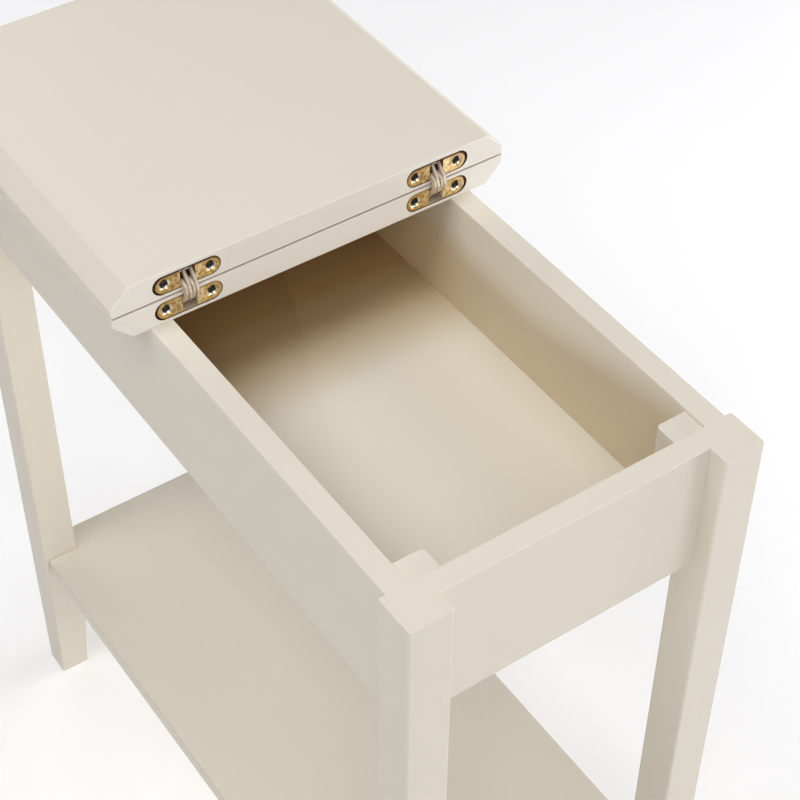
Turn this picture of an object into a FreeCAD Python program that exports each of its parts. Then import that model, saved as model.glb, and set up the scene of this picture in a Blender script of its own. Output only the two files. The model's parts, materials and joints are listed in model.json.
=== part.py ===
import FreeCAD, Part
import math
import os
from FreeCAD import Vector, Rotation, Placement
import Sketcher

# Narrow flip-top end table: four legs with tapered feet, a shallow storage
# compartment between four aprons, a low shelf, and a top in two equal halves.
# The front half is a lid on two concealed link hinges.  It is modelled folded
# back, lying upside down on the fixed half.
#
# +Z up, X across the narrow way, the open end of the compartment faces -Y.
# Origin: floor level, under the centre of the outer box with the lid folded.

doc = FreeCAD.newDocument("flip_top_table")
sheet = doc.addObject("Spreadsheet::Sheet", "Sizes")

SIZES = [
    # frame
    ("span_x", 240.0), ("span_y", 543.0),
    ("leg_size", 28.5), ("leg_height", 592.0), ("leg_ease", 1.6),
    ("foot_size", 23.5), ("foot_taper", 87.0),
    ("board", 15.0), ("apron_height", 97.5),
    ("side_setback", 4.5),
    ("floor_thick", 6.0), ("floor_lift", 5.5), ("groove_depth", 5.0), ("panel_clear", 0.1),
    ("block_x", 21.0), ("block_y", 17.0), ("block_drop", 2.5), ("block_round", 3.0),
    # shelf
    ("shelf_thick", 14.0), ("shelf_top", 151.0), ("shelf_inset_x", 3.5), ("shelf_inset_y", 5.5),
    ("notch_clear", 0.2),
    # top
    ("top_thick", 18.5), ("top_edge", 6.0), ("bevel_run", 12.5), ("overhang", 20.0),
    ("fold_gap", 0.8), ("seam_gap", 0.6),
    # hinge leaves
    ("hinge_inset", 51.5), ("leaf_length", 44.0), ("leaf_height", 13.0), ("leaf_thick", 3.0),
    ("hinge_body", 15.0), ("hinge_depth", 18.0), ("mortise_clear", 0.1),
    ("cavity_width", 10.2), ("cavity_depth", 16.9), ("cavity_low", 6.0), ("cavity_corner", 1.5),
    ("cavity_back", 2.6), ("shoulder_depth", 7.0), ("shoulder_rise", 5.9), ("mouth_depth", 3.4),
    # hinge links, measured from a leaf's centre line and the butt face
    ("link_thick", 2.2), ("link_pitch", 2.45), ("link_half", 1.6),
    ("pivot_depth", 2.2), ("pivot_rise", 4.2), ("knuckle_out", 3.6),
    ("near_bend_out", 2.65), ("near_bend_rise", 5.7), ("far_bend_out", 2.8), ("far_bend_rise", 5.0),
    ("slider_depth", 4.0), ("slider_drop", 2.2), ("fold_ratio", 0.605),
    ("pin_radius", 0.9), ("rivet_radius", 1.2), ("pin_clear", 0.05),
    ("track_clear", 0.15), ("track_depth", 1.0),
    # hinge screws
    ("leaf_screw_pitch", 31.0), ("leaf_screw_head", 3.7), ("leaf_screw_shank", 1.75),
    ("leaf_screw_length", 16.0),
    # joinery
    ("dowel_radius", 4.0), ("dowel_length", 34.0), ("dowel_in_leg", 14.0), ("dowel_clear", 0.05),
    ("dowel_upper", 22.0), ("dowel_lower", 28.0), ("dowel_stagger", 12.0), ("hole_end", 0.25),
    ("shelf_dowel_radius", 3.0), ("shelf_dowel_length", 28.0), ("shelf_dowel_in_leg", 11.0),
    ("block_screw_length", 28.0), ("block_screw_head", 3.6), ("block_screw_shank", 1.8),
    ("block_hole_drop", 14.0), ("block_hole_height", 34.5), ("block_hole_inset", 6.3),
    ("bracket_leg", 22.0), ("bracket_width", 16.0), ("bracket_thick", 1.6), ("bracket_hole", 13.2),
    ("bracket_screw_length", 12.0), ("bracket_screw_head", 3.2), ("bracket_screw_shank", 1.5),
    ("bracket_from_seam", 70.0), ("bracket_from_block", 26.0),
]
for row, (alias, value) in enumerate(SIZES, start=1):
    sheet.set("A%d" % row, alias)
    sheet.set("B%d" % row, repr(value))
    sheet.setAlias("B%d" % row, alias)
doc.recompute()

LEAD = 1.0  # how far a cutting tool starts outside the face it cuts


class Dim:
    """A size that keeps its value together with the sheet formula it comes from."""

    def __init__(self, value, text):
        self.v = float(value)
        self.t = text

    @staticmethod
    def of(x):
        return x if isinstance(x, Dim) else Dim(x, repr(float(x)))

    def __add__(self, other):
        other = Dim.of(other)
        return Dim(self.v + other.v, "(%s + %s)" % (self.t, other.t))

    def __radd__(self, other):
        return Dim.of(other) + self

    def __sub__(self, other):
        other = Dim.of(other)
        return Dim(self.v - other.v, "(%s - %s)" % (self.t, other.t))

    def __rsub__(self, other):
        return Dim.of(other) - self

    def __mul__(self, other):
        other = Dim.of(other)
        return Dim(self.v * other.v, "(%s * %s)" % (self.t, other.t))

    def __rmul__(self, other):
        return Dim.of(other) * self

    def __truediv__(self, other):
        other = Dim.of(other)
        return Dim(self.v / other.v, "(%s / %s)" % (self.t, other.t))

    def __neg__(self):
        return Dim(0.0, "0") - self


D = {alias: Dim(sheet.get(alias), "Sizes." + alias) for alias, _ in SIZES}

# ------------------------------------------------------------- helpers


def bind(obj, prop, dim):
    obj.setExpression(prop, Dim.of(dim).t)


def place(obj, x, y, z, turned=None):
    x, y, z = Dim.of(x), Dim.of(y), Dim.of(z)
    obj.Placement = Placement(Vector(x.v, y.v, z.v), turned or Rotation())
    bind(obj, "Placement.Base.x", x)
    bind(obj, "Placement.Base.y", y)
    bind(obj, "Placement.Base.z", z)
    return obj


def box(name, x0, x1, y0, y1, z0, z1):
    solid = doc.addObject("Part::Box", name)
    x0, y0, z0 = Dim.of(x0), Dim.of(y0), Dim.of(z0)
    bind(solid, "Length", Dim.of(x1) - x0)
    bind(solid, "Width", Dim.of(y1) - y0)
    bind(solid, "Height", Dim.of(z1) - z0)
    return place(solid, x0, y0, z0)


# unit step and the turn that sends a cylinder's own +Z that way
WAYS = {
    "+z": ((0, 0, 1), Rotation()),
    "+x": ((1, 0, 0), Rotation(Vector(0, 1, 0), 90)),
    "-x": ((-1, 0, 0), Rotation(Vector(0, 1, 0), -90)),
    "+y": ((0, 1, 0), Rotation(Vector(1, 0, 0), -90)),
    "-y": ((0, -1, 0), Rotation(Vector(1, 0, 0), 90)),
}


def along(axis, sign):
    return ("+" if sign > 0 else "-") + axis


def cyl(name, radius, length, x, y, z, way):
    solid = doc.addObject("Part::Cylinder", name)
    bind(solid, "Radius", radius)
    bind(solid, "Height", length)
    return place(solid, x, y, z, WAYS[way][1])


def cone(name, start_radius, end_radius, length, x, y, z, way):
    solid = doc.addObject("Part::Cone", name)
    bind(solid, "Radius1", start_radius)
    bind(solid, "Radius2", end_radius)
    bind(solid, "Height", length)
    return place(solid, x, y, z, WAYS[way][1])


def fuse(name, shapes):
    solid = doc.addObject("Part::MultiFuse", name)
    solid.Shapes = shapes
    return solid


def group(name, shapes):
    together = doc.addObject("Part::Compound", name)
    together.Links = shapes
    return together


def cut(name, base, tools):
    solid = doc.addObject("Part::Cut", name)
    solid.Base = base
    solid.Tool = tools[0] if len(tools) == 1 else group(name + "Tools", tools)
    return solid


def feature(name, shape):
    solid = doc.addObject("Part::Feature", name)
    solid.Shape = shape
    return solid


def countersunk(name, head, shank, length, x, y, z, way, grow=0.0, extra=0.0):
    """Countersunk screw with its head's face at x, y, z, or, when grow is
    given, the hole that clears it."""
    step = WAYS[way][0]
    taper = head - shank
    at = [Dim.of(c) + taper * s if s else Dim.of(c) for c, s in zip((x, y, z), step)]
    head_cone = cone(name + "Head", head + grow, shank + grow, taper, x, y, z, way)
    rod = cyl(name + "Rod", shank + grow, length - taper + extra, at[0], at[1], at[2], way)
    return fuse(name, [head_cone, rod])


def new_sketch(body, name, role, offset):
    sketch = body.newObject("Sketcher::SketchObject", name)
    planes = [f for f in body.Origin.OriginFeatures if f.Role == role]
    sketch.AttachmentSupport = (planes[0], [""])
    sketch.MapMode = "FlatFace"
    offset = Dim.of(offset)
    sketch.AttachmentOffset = Placement(Vector(0, 0, offset.v), Rotation())
    sketch.setExpression("AttachmentOffset.Base.z", offset.t)
    return sketch


def pin_down(sketch, line, point, x, y):
    """Tie one end of a line to its two coordinates."""
    for kind, dim, axis in (("DistanceX", x, -2), ("DistanceY", y, -1)):
        if abs(dim.v) < 1e-9:
            sketch.addConstraint(Sketcher.Constraint("PointOnObject", line, point, axis))
        else:
            index = sketch.addConstraint(Sketcher.Constraint(kind, -1, 1, line, point, dim.v))
            sketch.setExpression("Constraints[%d]" % index, dim.t)


def add_line(sketch, start, end):
    ends = [Vector(p[0].v, p[1].v, 0) for p in (start, end)]
    sketch.addGeometry(Part.LineSegment(ends[0], ends[1]), False)


def outline(body, name, role, corners, offset=0.0):
    """Closed outline of straight lines whose every corner is tied to the sheet."""
    sketch = new_sketch(body, name, role, offset)
    corners = [(Dim.of(a), Dim.of(b)) for a, b in corners]
    count = len(corners)
    for i in range(count):
        add_line(sketch, corners[i], corners[(i + 1) % count])
    for i in range(count):
        sketch.addConstraint(Sketcher.Constraint("Coincident", i, 2, (i + 1) % count, 1))
    for i, (a, b) in enumerate(corners):
        pin_down(sketch, i, 1, a, b)
    return sketch


def rounded_square(body, name, corner, far, radius, offset):
    """Square with round corners in the XY plane, from one corner to the
    opposite one: four lines joined by four quarter circles."""
    sketch = new_sketch(body, name, "XY_Plane", offset)
    lo_x, hi_x = sorted((corner[0], far[0]), key=lambda d: d.v)
    lo_y, hi_y = sorted((corner[1], far[1]), key=lambda d: d.v)
    r = radius
    sides = [((lo_x + r, lo_y), (hi_x - r, lo_y)), ((hi_x, lo_y + r), (hi_x, hi_y - r)),
             ((hi_x - r, hi_y), (lo_x + r, hi_y)), ((lo_x, hi_y - r), (lo_x, lo_y + r))]
    centres = [(hi_x - r, lo_y + r), (hi_x - r, hi_y - r), (lo_x + r, hi_y - r), (lo_x + r, lo_y + r)]
    for start, end in sides:
        add_line(sketch, start, end)
    for i, (cx, cy) in enumerate(centres):
        circle = Part.Circle(Vector(cx.v, cy.v, 0), Vector(0, 0, 1), r.v)
        start = (i - 1) * math.pi / 2
        sketch.addGeometry(Part.ArcOfCircle(circle, start, start + math.pi / 2), False)
    for i, side in enumerate(sides):
        for point, (x, y) in enumerate(side, start=1):
            pin_down(sketch, i, point, x, y)
    for i in range(4):
        sketch.addConstraint(Sketcher.Constraint("Coincident", i, 2, 4 + i, 1))
        sketch.addConstraint(Sketcher.Constraint("Coincident", 4 + i, 2, (i + 1) % 4, 1))
        index = sketch.addConstraint(Sketcher.Constraint("Radius", 4 + i, r.v))
        sketch.setExpression("Constraints[%d]" % index, r.t)
    return sketch


def pad(body, sketch, name, length, midplane=False, back=False):
    solid = body.newObject("PartDesign::Pad", name)
    solid.Profile = sketch
    solid.Length = Dim.of(length).v
    bind(solid, "Length", length)
    solid.Midplane = midplane
    solid.Reversed = back
    return solid


def loft(body, name, first, second):
    solid = body.newObject("PartDesign::AdditiveLoft", name)
    solid.Profile = first
    solid.Sections = [(second, [""])]
    solid.Ruled = True
    return solid


def round_upright(body, solid, name, radius, x, y):
    """Round the upright edge that stands at x, y."""
    doc.recompute([solid])
    names = []
    for i, edge in enumerate(solid.Shape.Edges, start=1):
        ends = [v.Point for v in edge.Vertexes]
        if all(math.hypot(p.x - x.v, p.y - y.v) < 1e-3 for p in ends):
            names.append("Edge%d" % i)
    if len(names) != 1:
        raise RuntimeError("no single upright edge for " + name)
    fillet = body.newObject("PartDesign::Fillet", name)
    fillet.Base = (solid, names)
    fillet.Radius = radius.v
    bind(fillet, "Radius", radius)
    return fillet


nodes = {}


def node(name, solid):
    solid.Label = name
    nodes[name] = solid
    return solid


# ---------------------------------------------------------- key planes
leg_x = D["span_x"] / 2                                # legs' outer faces
inner_x = leg_x - D["leg_size"]                        # legs' inner faces
seam_run = D["span_y"] / 2                             # the seam is over the middle
half_top = seam_run + D["overhang"]                    # length of each half of the top
y_front = -(seam_run + half_top) / 2                   # front legs' front faces
y_rear = y_front + D["span_y"]                         # rear legs' rear faces
y_seam = y_front + seam_run                            # butt face of the fixed half
y_leg_front = y_front + D["leg_size"]                  # front legs' inner faces
y_leg_rear = y_rear - D["leg_size"]                    # rear legs' inner faces
z_top = D["leg_height"]                                # tops of legs and aprons
z_apron = z_top - D["apron_height"]
z_panel = z_apron + D["floor_lift"]                    # underside of the floor panel
z_floor = z_panel + D["floor_thick"]
z_block = z_top - D["block_drop"]

side_out = leg_x - D["side_setback"]
side_in = side_out - D["board"]
y_end_front = y_leg_front                              # end aprons are flush inside
y_end_rear = y_leg_rear

z_lid = z_top + D["top_thick"] + D["fold_gap"]         # underside of the folded lid
z_leaf = z_top + D["top_thick"] / 2                    # centre of the fixed leaves
z_leaf_lid = z_lid + D["top_thick"] / 2
z_fold = z_top + D["top_thick"] + D["fold_gap"] / 2    # axis the lid turns on

SIDES = (("left", -1), ("right", 1))
ENDS = (("front", -1), ("rear", 1))
CORNERS = [("%s_%s" % (end, side), side, sx, end, sy) for end, sy in ENDS for side, sx in SIDES]

bores = {name: [] for name in (
    "leg_front_left", "leg_front_right", "leg_rear_left", "leg_rear_right",
    "side_left", "side_right", "end_front", "end_rear", "shelf", "fixed_top")}

# ---------------------------------------------------------------- legs


def leg_blank(tag, sx, sy):
    """Square leg with eased edges; the foot narrows on its two inner faces."""
    body = doc.addObject("PartDesign::Body", "Leg_" + tag)
    corner = (sx * leg_x, y_rear if sy > 0 else y_front)

    def square(name, size, height):
        far = (corner[0] - sx * size, corner[1] - sy * size)
        return rounded_square(body, name + "_" + tag, corner, far, D["leg_ease"], height)

    shaft = square("Shaft", D["leg_size"], D["foot_taper"])
    pad(body, shaft, "ShaftPad_" + tag, D["leg_height"] - D["foot_taper"])
    knee = square("Knee", D["leg_size"], D["foot_taper"])
    foot = square("Foot", D["foot_size"], 0.0)
    loft(body, "Taper_" + tag, foot, knee)
    return body


# ------------------------------------------------------------- joinery


def dowel(name, radius, length, x, y, z, axis, sign, owners):
    """One dowel that starts at x, y, z and runs along an axis.  Its bore,
    a little wider and longer at both ends, goes to each of its owners."""
    way = along(axis, sign)
    back = [Dim.of(c) - sign * D["hole_end"] if a == axis else c for c, a in zip((x, y, z), "xyz")]
    bore = cyl(name + "Bore", radius + D["dowel_clear"], length + D["hole_end"] * 2,
               back[0], back[1], back[2], way)
    for owner in owners:
        bores[owner].append(bore)
    return cyl(name, radius, length, x, y, z, way)


def apron_dowels():
    """Two dowels from each leg into its side apron, along Y, and two into its
    end apron, along X, staggered in height so that they miss each other."""
    made = []
    side_x = side_out - D["board"] / 2
    heights = [z_top - D["dowel_upper"], z_floor + D["dowel_lower"]]
    for tag, side, sx, end, sy in CORNERS:
        leg_face = y_leg_front if sy < 0 else y_leg_rear
        end_y = y_end_front - D["board"] / 2 if sy < 0 else y_end_rear + D["board"] / 2
        for i, z in enumerate(heights):
            made.append(dowel("SideDowel%d_%s" % (i, tag), D["dowel_radius"], D["dowel_length"],
                              sx * side_x, leg_face + sy * D["dowel_in_leg"], z, "y", -sy,
                              ["leg_" + tag, "side_" + side]))
            made.append(dowel("EndDowel%d_%s" % (i, tag), D["dowel_radius"], D["dowel_length"],
                              sx * (inner_x + D["dowel_in_leg"]), end_y, z - D["dowel_stagger"], "x", -sx,
                              ["leg_" + tag, "end_" + end]))
    node("apron_dowels", group("ApronDowels", made))


def shelf_dowels():
    """One dowel along Y from each leg into the shelf."""
    made = []
    x = (inner_x + leg_x - D["shelf_inset_x"]) / 2
    z = D["shelf_top"] - D["shelf_thick"] / 2
    for tag, side, sx, end, sy in CORNERS:
        leg_face = y_leg_front if sy < 0 else y_leg_rear
        made.append(dowel("ShelfDowel_" + tag, D["shelf_dowel_radius"], D["shelf_dowel_length"],
                          sx * x, leg_face + sy * D["shelf_dowel_in_leg"], z, "y", -sy,
                          ["leg_" + tag, "shelf"]))
    node("shelf_dowels", group("ShelfDowels", made))


def corner_blocks():
    """Upright glue block in each corner of the compartment, its free edge
    rounded, with two screws through it into the end apron."""
    screws = []
    x_free = side_in - D["block_x"]
    for tag, side, sx, end, sy in CORNERS:
        wall = y_end_front if sy < 0 else y_end_rear
        free = wall - sy * D["block_y"]
        body = doc.addObject("PartDesign::Body", "Block_" + tag)
        sketch = outline(body, "BlockOutline_" + tag, "XY_Plane", [
            (sx * x_free, wall), (sx * side_in, wall), (sx * side_in, free), (sx * x_free, free)], z_floor)
        solid = pad(body, sketch, "BlockPad_" + tag, z_block - z_floor)
        round_upright(body, solid, "BlockRound_" + tag, D["block_round"], sx * x_free, free)
        holes = []
        x = sx * (x_free + D["block_hole_inset"])
        for i, z in enumerate((z_block - D["block_hole_drop"], z_floor + D["block_hole_height"])):
            size = (D["block_screw_head"], D["block_screw_shank"], D["block_screw_length"])
            spot = (x, free, z, along("y", sy))
            screws.append(countersunk("BlockScrew%d_%s" % (i, tag), *size, *spot))
            holes.append(countersunk("BlockHole%d_%s" % (i, tag), *size, *spot,
                                     grow=D["pin_clear"], extra=D["hole_end"]))
        bores["end_" + end] += holes
        node("corner_block_" + tag, cut("CornerBlock_" + tag, body, holes))
    node("block_screws", group("BlockScrews", screws))


def top_brackets():
    """Steel angles under the fixed half, each screwed to a side apron and to
    the top."""
    screws = []
    t = D["bracket_thick"]
    reach = side_in - D["bracket_leg"]
    z_low = z_top - D["bracket_leg"]
    y_first = y_seam + D["bracket_from_seam"]
    y_last = y_end_rear - D["block_y"] - D["bracket_from_block"]
    for side, sx in SIDES:
        for end, y in (("front", y_first), ("rear", y_last)):
            tag = "%s_%s" % (side, end)
            body = doc.addObject("PartDesign::Body", "Angle_" + tag)
            sketch = outline(body, "AngleOutline_" + tag, "XZ_Plane", [
                (sx * side_in, z_top), (sx * reach, z_top), (sx * reach, z_top - t),
                (sx * (side_in - t), z_top - t), (sx * (side_in - t), z_low), (sx * side_in, z_low)], -y)
            pad(body, sketch, "AnglePad_" + tag, D["bracket_width"], midplane=True)
            size = (D["bracket_screw_head"], D["bracket_screw_shank"], D["bracket_screw_length"])
            to_wall = (sx * (side_in - t), y, z_top - D["bracket_hole"], along("x", sx))
            to_top = (sx * (side_in - D["bracket_hole"]), y, z_top - t, "+z")
            holes = []
            for word, spot in (("Wall", to_wall), ("Top", to_top)):
                screws.append(countersunk("%sScrew_%s" % (word, tag), *size, *spot))
                holes.append(countersunk("%sHole_%s" % (word, tag), *size, *spot,
                                         grow=D["pin_clear"], extra=D["hole_end"]))
            bores["side_" + side].append(holes[0])
            bores["fixed_top"].append(holes[1])
            node("top_bracket_" + tag, cut("Bracket_" + tag, body, holes))
    node("bracket_screws", group("BracketScrews", screws))


# ----------------------------------------- aprons, floor panel and shelf


def side_apron(side, sx):
    """Long board between a front and a rear leg, grooved inside for the floor."""
    near, far = sorted((sx * side_in, sx * side_out), key=lambda d: d.v)
    board = box("SideBoard_" + side, near, far, y_leg_front, y_leg_rear, z_apron, z_top)
    walls = sorted((sx * (side_in - LEAD), sx * (side_in + D["groove_depth"])), key=lambda d: d.v)
    groove = box("SideGroove_" + side, walls[0], walls[1], y_leg_front, y_leg_rear,
                 z_panel - D["panel_clear"], z_floor + D["panel_clear"])
    node("side_apron_" + side, cut("SideApron_" + side, board, [groove] + bores["side_" + side]))


def end_apron(end, sy):
    """Short board between two legs, grooved inside for the floor."""
    inner = y_end_front if sy < 0 else y_end_rear
    near, far = sorted((inner, inner + sy * D["board"]), key=lambda d: d.v)
    board = box("EndBoard_" + end, -inner_x, inner_x, near, far, z_apron, z_top)
    walls = sorted((inner - sy * LEAD, inner + sy * D["groove_depth"]), key=lambda d: d.v)
    groove = box("EndGroove_" + end, -inner_x, inner_x, walls[0], walls[1],
                 z_panel - D["panel_clear"], z_floor + D["panel_clear"])
    node(end + "_apron", cut("EndApron_" + end, board, [groove] + bores["end_" + end]))


def cross_shape(wide, narrow, y_low, y_in_low, y_in_high, y_high):
    """Twelve corners of a board notched at its four corners."""
    half = [(narrow, y_low), (narrow, y_in_low), (wide, y_in_low),
            (wide, y_in_high), (narrow, y_in_high), (narrow, y_high)]
    return half + [(-x, y) for x, y in reversed(half)]


def floor_panel():
    """Thin panel let into all four grooves and notched round the legs."""
    c = D["panel_clear"]
    reach = D["groove_depth"] - c
    body = doc.addObject("PartDesign::Body", "FloorPanel")
    sketch = outline(body, "FloorOutline", "XY_Plane", cross_shape(
        side_in + reach, inner_x - c, y_end_front - reach, y_leg_front + c, y_leg_rear - c,
        y_end_rear + reach), z_panel)
    pad(body, sketch, "FloorPad", D["floor_thick"])
    node("compartment_floor", body)


def low_shelf():
    """Board that reaches past the legs' inner faces on all sides."""
    body = doc.addObject("PartDesign::Body", "ShelfBoard")
    sketch = outline(body, "ShelfOutline", "XY_Plane", cross_shape(
        leg_x - D["shelf_inset_x"], inner_x - D["notch_clear"], y_front + D["shelf_inset_y"],
        y_leg_front, y_leg_rear, y_rear - D["shelf_inset_y"]), D["shelf_top"] - D["shelf_thick"])
    pad(body, sketch, "ShelfPad", D["shelf_thick"])
    node("shelf", cut("ShelfBored", body, bores["shelf"]))


# -------------------------------------------------------- two-part top


def top_half(tag, z_face, z_under, sign):
    """Half of the top: square edge at the seam and, below a short upright
    edge, a wide bevel on the other three sides.  z_face is the show face."""
    body = doc.addObject("PartDesign::Body", "Top_" + tag)
    x_wide = leg_x + D["overhang"]
    x_slim = x_wide - D["bevel_run"]
    y_wide = y_seam + half_top
    y_slim = y_wide - D["bevel_run"]
    z_knee = z_face + sign * D["top_edge"]
    wide = [(-x_wide, y_seam), (x_wide, y_seam), (x_wide, y_wide), (-x_wide, y_wide)]
    slim = [(-x_slim, y_seam), (x_slim, y_seam), (x_slim, y_slim), (-x_slim, y_slim)]
    edge = outline(body, "Edge_" + tag, "XY_Plane", wide, z_face)
    pad(body, edge, "EdgePad_" + tag, D["top_edge"], back=sign < 0)
    knee = outline(body, "Bevel_start_" + tag, "XY_Plane", wide, z_knee)
    under = outline(body, "Bevel_end_" + tag, "XY_Plane", slim, z_under)
    loft(body, "Bevel_" + tag, knee, under)
    return body


# --------------------------------------------------- concealed hinges
# A hinge is drawn about the point where the fixed leaf's centre line meets
# the butt face: y is depth into the board, z is rise towards the fold line.
# The lid's leaf is the mirror image about the fold line.

x_hinge = leg_x + D["overhang"] - D["hinge_inset"]  # middle of each hinge
hinge_fold = (z_fold - z_leaf).v
fold_point = (-(D["seam_gap"] / 2).v, hinge_fold)
pivot = (D["pivot_depth"].v, D["pivot_rise"].v)
link_line = [
    pivot,
    (-D["near_bend_out"].v, D["near_bend_rise"].v),
    (-D["knuckle_out"].v, hinge_fold),
    (-D["far_bend_out"].v, 2 * hinge_fold - D["far_bend_rise"].v),
    (D["slider_depth"].v, 2 * hinge_fold + D["slider_drop"].v),
]
TRACK_STEP = 20  # degrees of lid travel between the points of a slider track
LAYERS = (-1.5, -0.5, 0.5, 1.5)  # places of the four link plates, in pitches from the middle


def flipped(point):
    """The same point seen from the lid's leaf."""
    return (point[0], 2 * hinge_fold - point[1])


def turned(point, angle, centre):
    """A (y, z) point turned about another by the right-hand rule on +X."""
    c, s = math.cos(angle), math.sin(angle)
    dy, dz = point[0] - centre[0], point[1] - centre[1]
    return (centre[0] + dy * c - dz * s, centre[1] + dy * s + dz * c)


def slider_track():
    """Where the slider pin of the link pivoted on the lid goes inside the
    fixed leaf, from the lid folded back to the lid closed."""
    slider, lid_pivot = flipped(link_line[-1]), flipped(pivot)
    points = []
    for degrees in range(0, 181, TRACK_STEP):
        fold = math.radians(degrees)
        swung = turned(slider, -D["fold_ratio"].v * fold, lid_pivot)
        points.append(turned(swung, fold, fold_point))
    return points


def at_x(x, points):
    return [Vector(x, y, z) for y, z in points]


def slab(x0, x1, points):
    """Solid between two X planes from a closed (y, z) outline."""
    wire = Part.makePolygon(at_x(x0, points + points[:1]))
    return Part.Face(wire).extrude(Vector(x1 - x0, 0, 0))


def strip(x0, x1, points, radius):
    """Round-ended strip of constant width along a bent line."""
    wire = Part.makePolygon(at_x(x0, points)).makeOffset2D(radius)
    return Part.Face(wire).extrude(Vector(x1 - x0, 0, 0))


def rod(x0, x1, point, radius):
    return Part.makeCylinder(radius, x1 - x0, Vector(x0, point[0], point[1]), Vector(1, 0, 0))


def leaf_cutter(name, mirror):
    """Cavity that the links fold into, the slider's track in its two side
    walls, and the bore for the pivot pin."""
    half = D["cavity_width"].v / 2
    wall = half + D["track_depth"].v
    low = -D["cavity_low"].v
    high = D["leaf_height"].v / 2 + LEAD
    depth, corner = D["cavity_depth"].v, D["cavity_corner"].v
    cavity = [(-LEAD, high), (-LEAD, low), (depth - corner, low), (depth, low + corner),
              (depth, D["cavity_back"].v), (D["shoulder_depth"].v, D["shoulder_rise"].v),
              (D["mouth_depth"].v, high)]
    track = slider_track()
    pin = pivot
    if mirror:
        cavity, track, pin = [flipped(p) for p in cavity], [flipped(p) for p in track], flipped(pin)
    shape = slab(-half, half, cavity)
    shape = shape.fuse(strip(-wall, wall, track, D["pin_radius"].v + D["track_clear"].v))
    shape = shape.fuse(rod(-wall, wall, pin, D["pin_radius"].v + D["pin_clear"].v))
    return feature(name, shape)


def leaf_blank(name, x, z, grow=0.0):
    """Round-ended face plate with the hinge's square body behind it."""
    grow = Dim.of(grow)
    radius = D["leaf_height"] / 2 + grow
    centre = (D["leaf_length"] - D["leaf_height"]) / 2
    plate = D["leaf_thick"] + grow
    core_x = D["hinge_body"] / 2 + grow
    ends = [cyl("%s_%s" % (name, end), radius, plate, x + s * centre, y_seam, z, "+y")
            for end, s in (("EndA", -1), ("EndB", 1))]
    middle = box(name + "_Middle", x - centre, x + centre, y_seam, y_seam + plate, z - radius, z + radius)
    core = box(name + "_Core", x - core_x, x + core_x, y_seam, y_seam + D["hinge_depth"] + grow,
               z - radius, z + radius)
    return fuse(name, ends + [middle, core])


def hinge_leaf(which, side, sx, z):
    """One leaf with its pivot pin.  Returns its screws, their holes and the
    mortise that it sits in."""
    tag = "%s_%s" % (which, side)
    mirror = which == "lid"
    x = sx * x_hinge
    cutter = place(leaf_cutter("Cavity_" + tag, mirror), x, y_seam, z_leaf)
    screws, holes = [], []
    size = (D["leaf_screw_head"], D["leaf_screw_shank"], D["leaf_screw_length"])
    for word, s in (("A", -1), ("B", 1)):
        spot = (x + s * D["leaf_screw_pitch"] / 2, y_seam, z, "+y")
        screws.append(countersunk("LeafScrew%s_%s" % (word, tag), *size, *spot))
        holes.append(countersunk("LeafHole%s_%s" % (word, tag), *size, *spot,
                                 grow=D["pin_clear"], extra=D["hole_end"]))
    blank = leaf_blank("LeafBlank_" + tag, x, z)
    node("hinge_leaf_" + tag, cut("Leaf_" + tag, blank, [cutter] + holes))
    reach = D["cavity_width"].v / 2 + D["track_depth"].v - D["pin_clear"].v
    pin = rod(-reach, reach, flipped(pivot) if mirror else pivot, D["pin_radius"].v)
    node("pivot_pin_" + tag, place(feature("PivotPin_" + tag, pin), x, y_seam, z_leaf))
    mortise = leaf_blank("Mortise_" + tag, x, z, D["mortise_clear"])
    return screws, holes, mortise


def hinge_links(kind, side, sx):
    """Two link plates of one kind with the pins fixed in them.  Kind a turns
    on the fixed leaf's pin, kind b, its mirror image, on the lid's."""
    tag = "%s_%s" % (kind, side)
    layers = LAYERS[1::2] if kind == "a" else LAYERS[0::2]
    line = link_line if kind == "a" else [flipped(p) for p in link_line]
    turn_pin, knuckle, slider = line[0], line[2], line[-1]
    t, pin, rivet = D["link_thick"].v, D["pin_radius"].v, D["rivet_radius"].v
    plates, pins = [], []
    for layer in layers:
        x0 = layer * D["link_pitch"].v - t / 2
        x1 = x0 + t
        plate = strip(x0, x1, line, D["link_half"].v)
        plate = plate.cut(rod(x0 - LEAD, x1 + LEAD, turn_pin, pin + D["pin_clear"].v))
        plate = plate.cut(rod(x0 - LEAD, x1 + LEAD, knuckle, rivet))
        plate = plate.cut(rod(x0 - LEAD, x1 + LEAD, slider, pin))
        plates.append(plate)
        pins.append(rod(x0, x1, knuckle, rivet))
    reach = D["cavity_width"].v / 2 + D["track_depth"].v - D["track_clear"].v
    pins.append(rod(-reach, reach, slider, pin))
    x = sx * x_hinge
    node("hinge_links_" + tag, place(feature("Links_" + tag, Part.makeCompound(plates)), x, y_seam, z_leaf))
    node("link_pins_" + tag, place(feature("LinkPins_" + tag, Part.makeCompound(pins)), x, y_seam, z_leaf))


# ------------------------------------------------------- put together

blanks = {tag: leg_blank(tag, sx, sy) for tag, _, sx, _, sy in CORNERS}
apron_dowels()
shelf_dowels()
corner_blocks()
top_brackets()
for tag in blanks:
    node("leg_" + tag, cut("LegBored_" + tag, blanks[tag], bores["leg_" + tag]))
for side, sx in SIDES:
    side_apron(side, sx)
for end, sy in ENDS:
    end_apron(end, sy)
floor_panel()
low_shelf()

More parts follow.
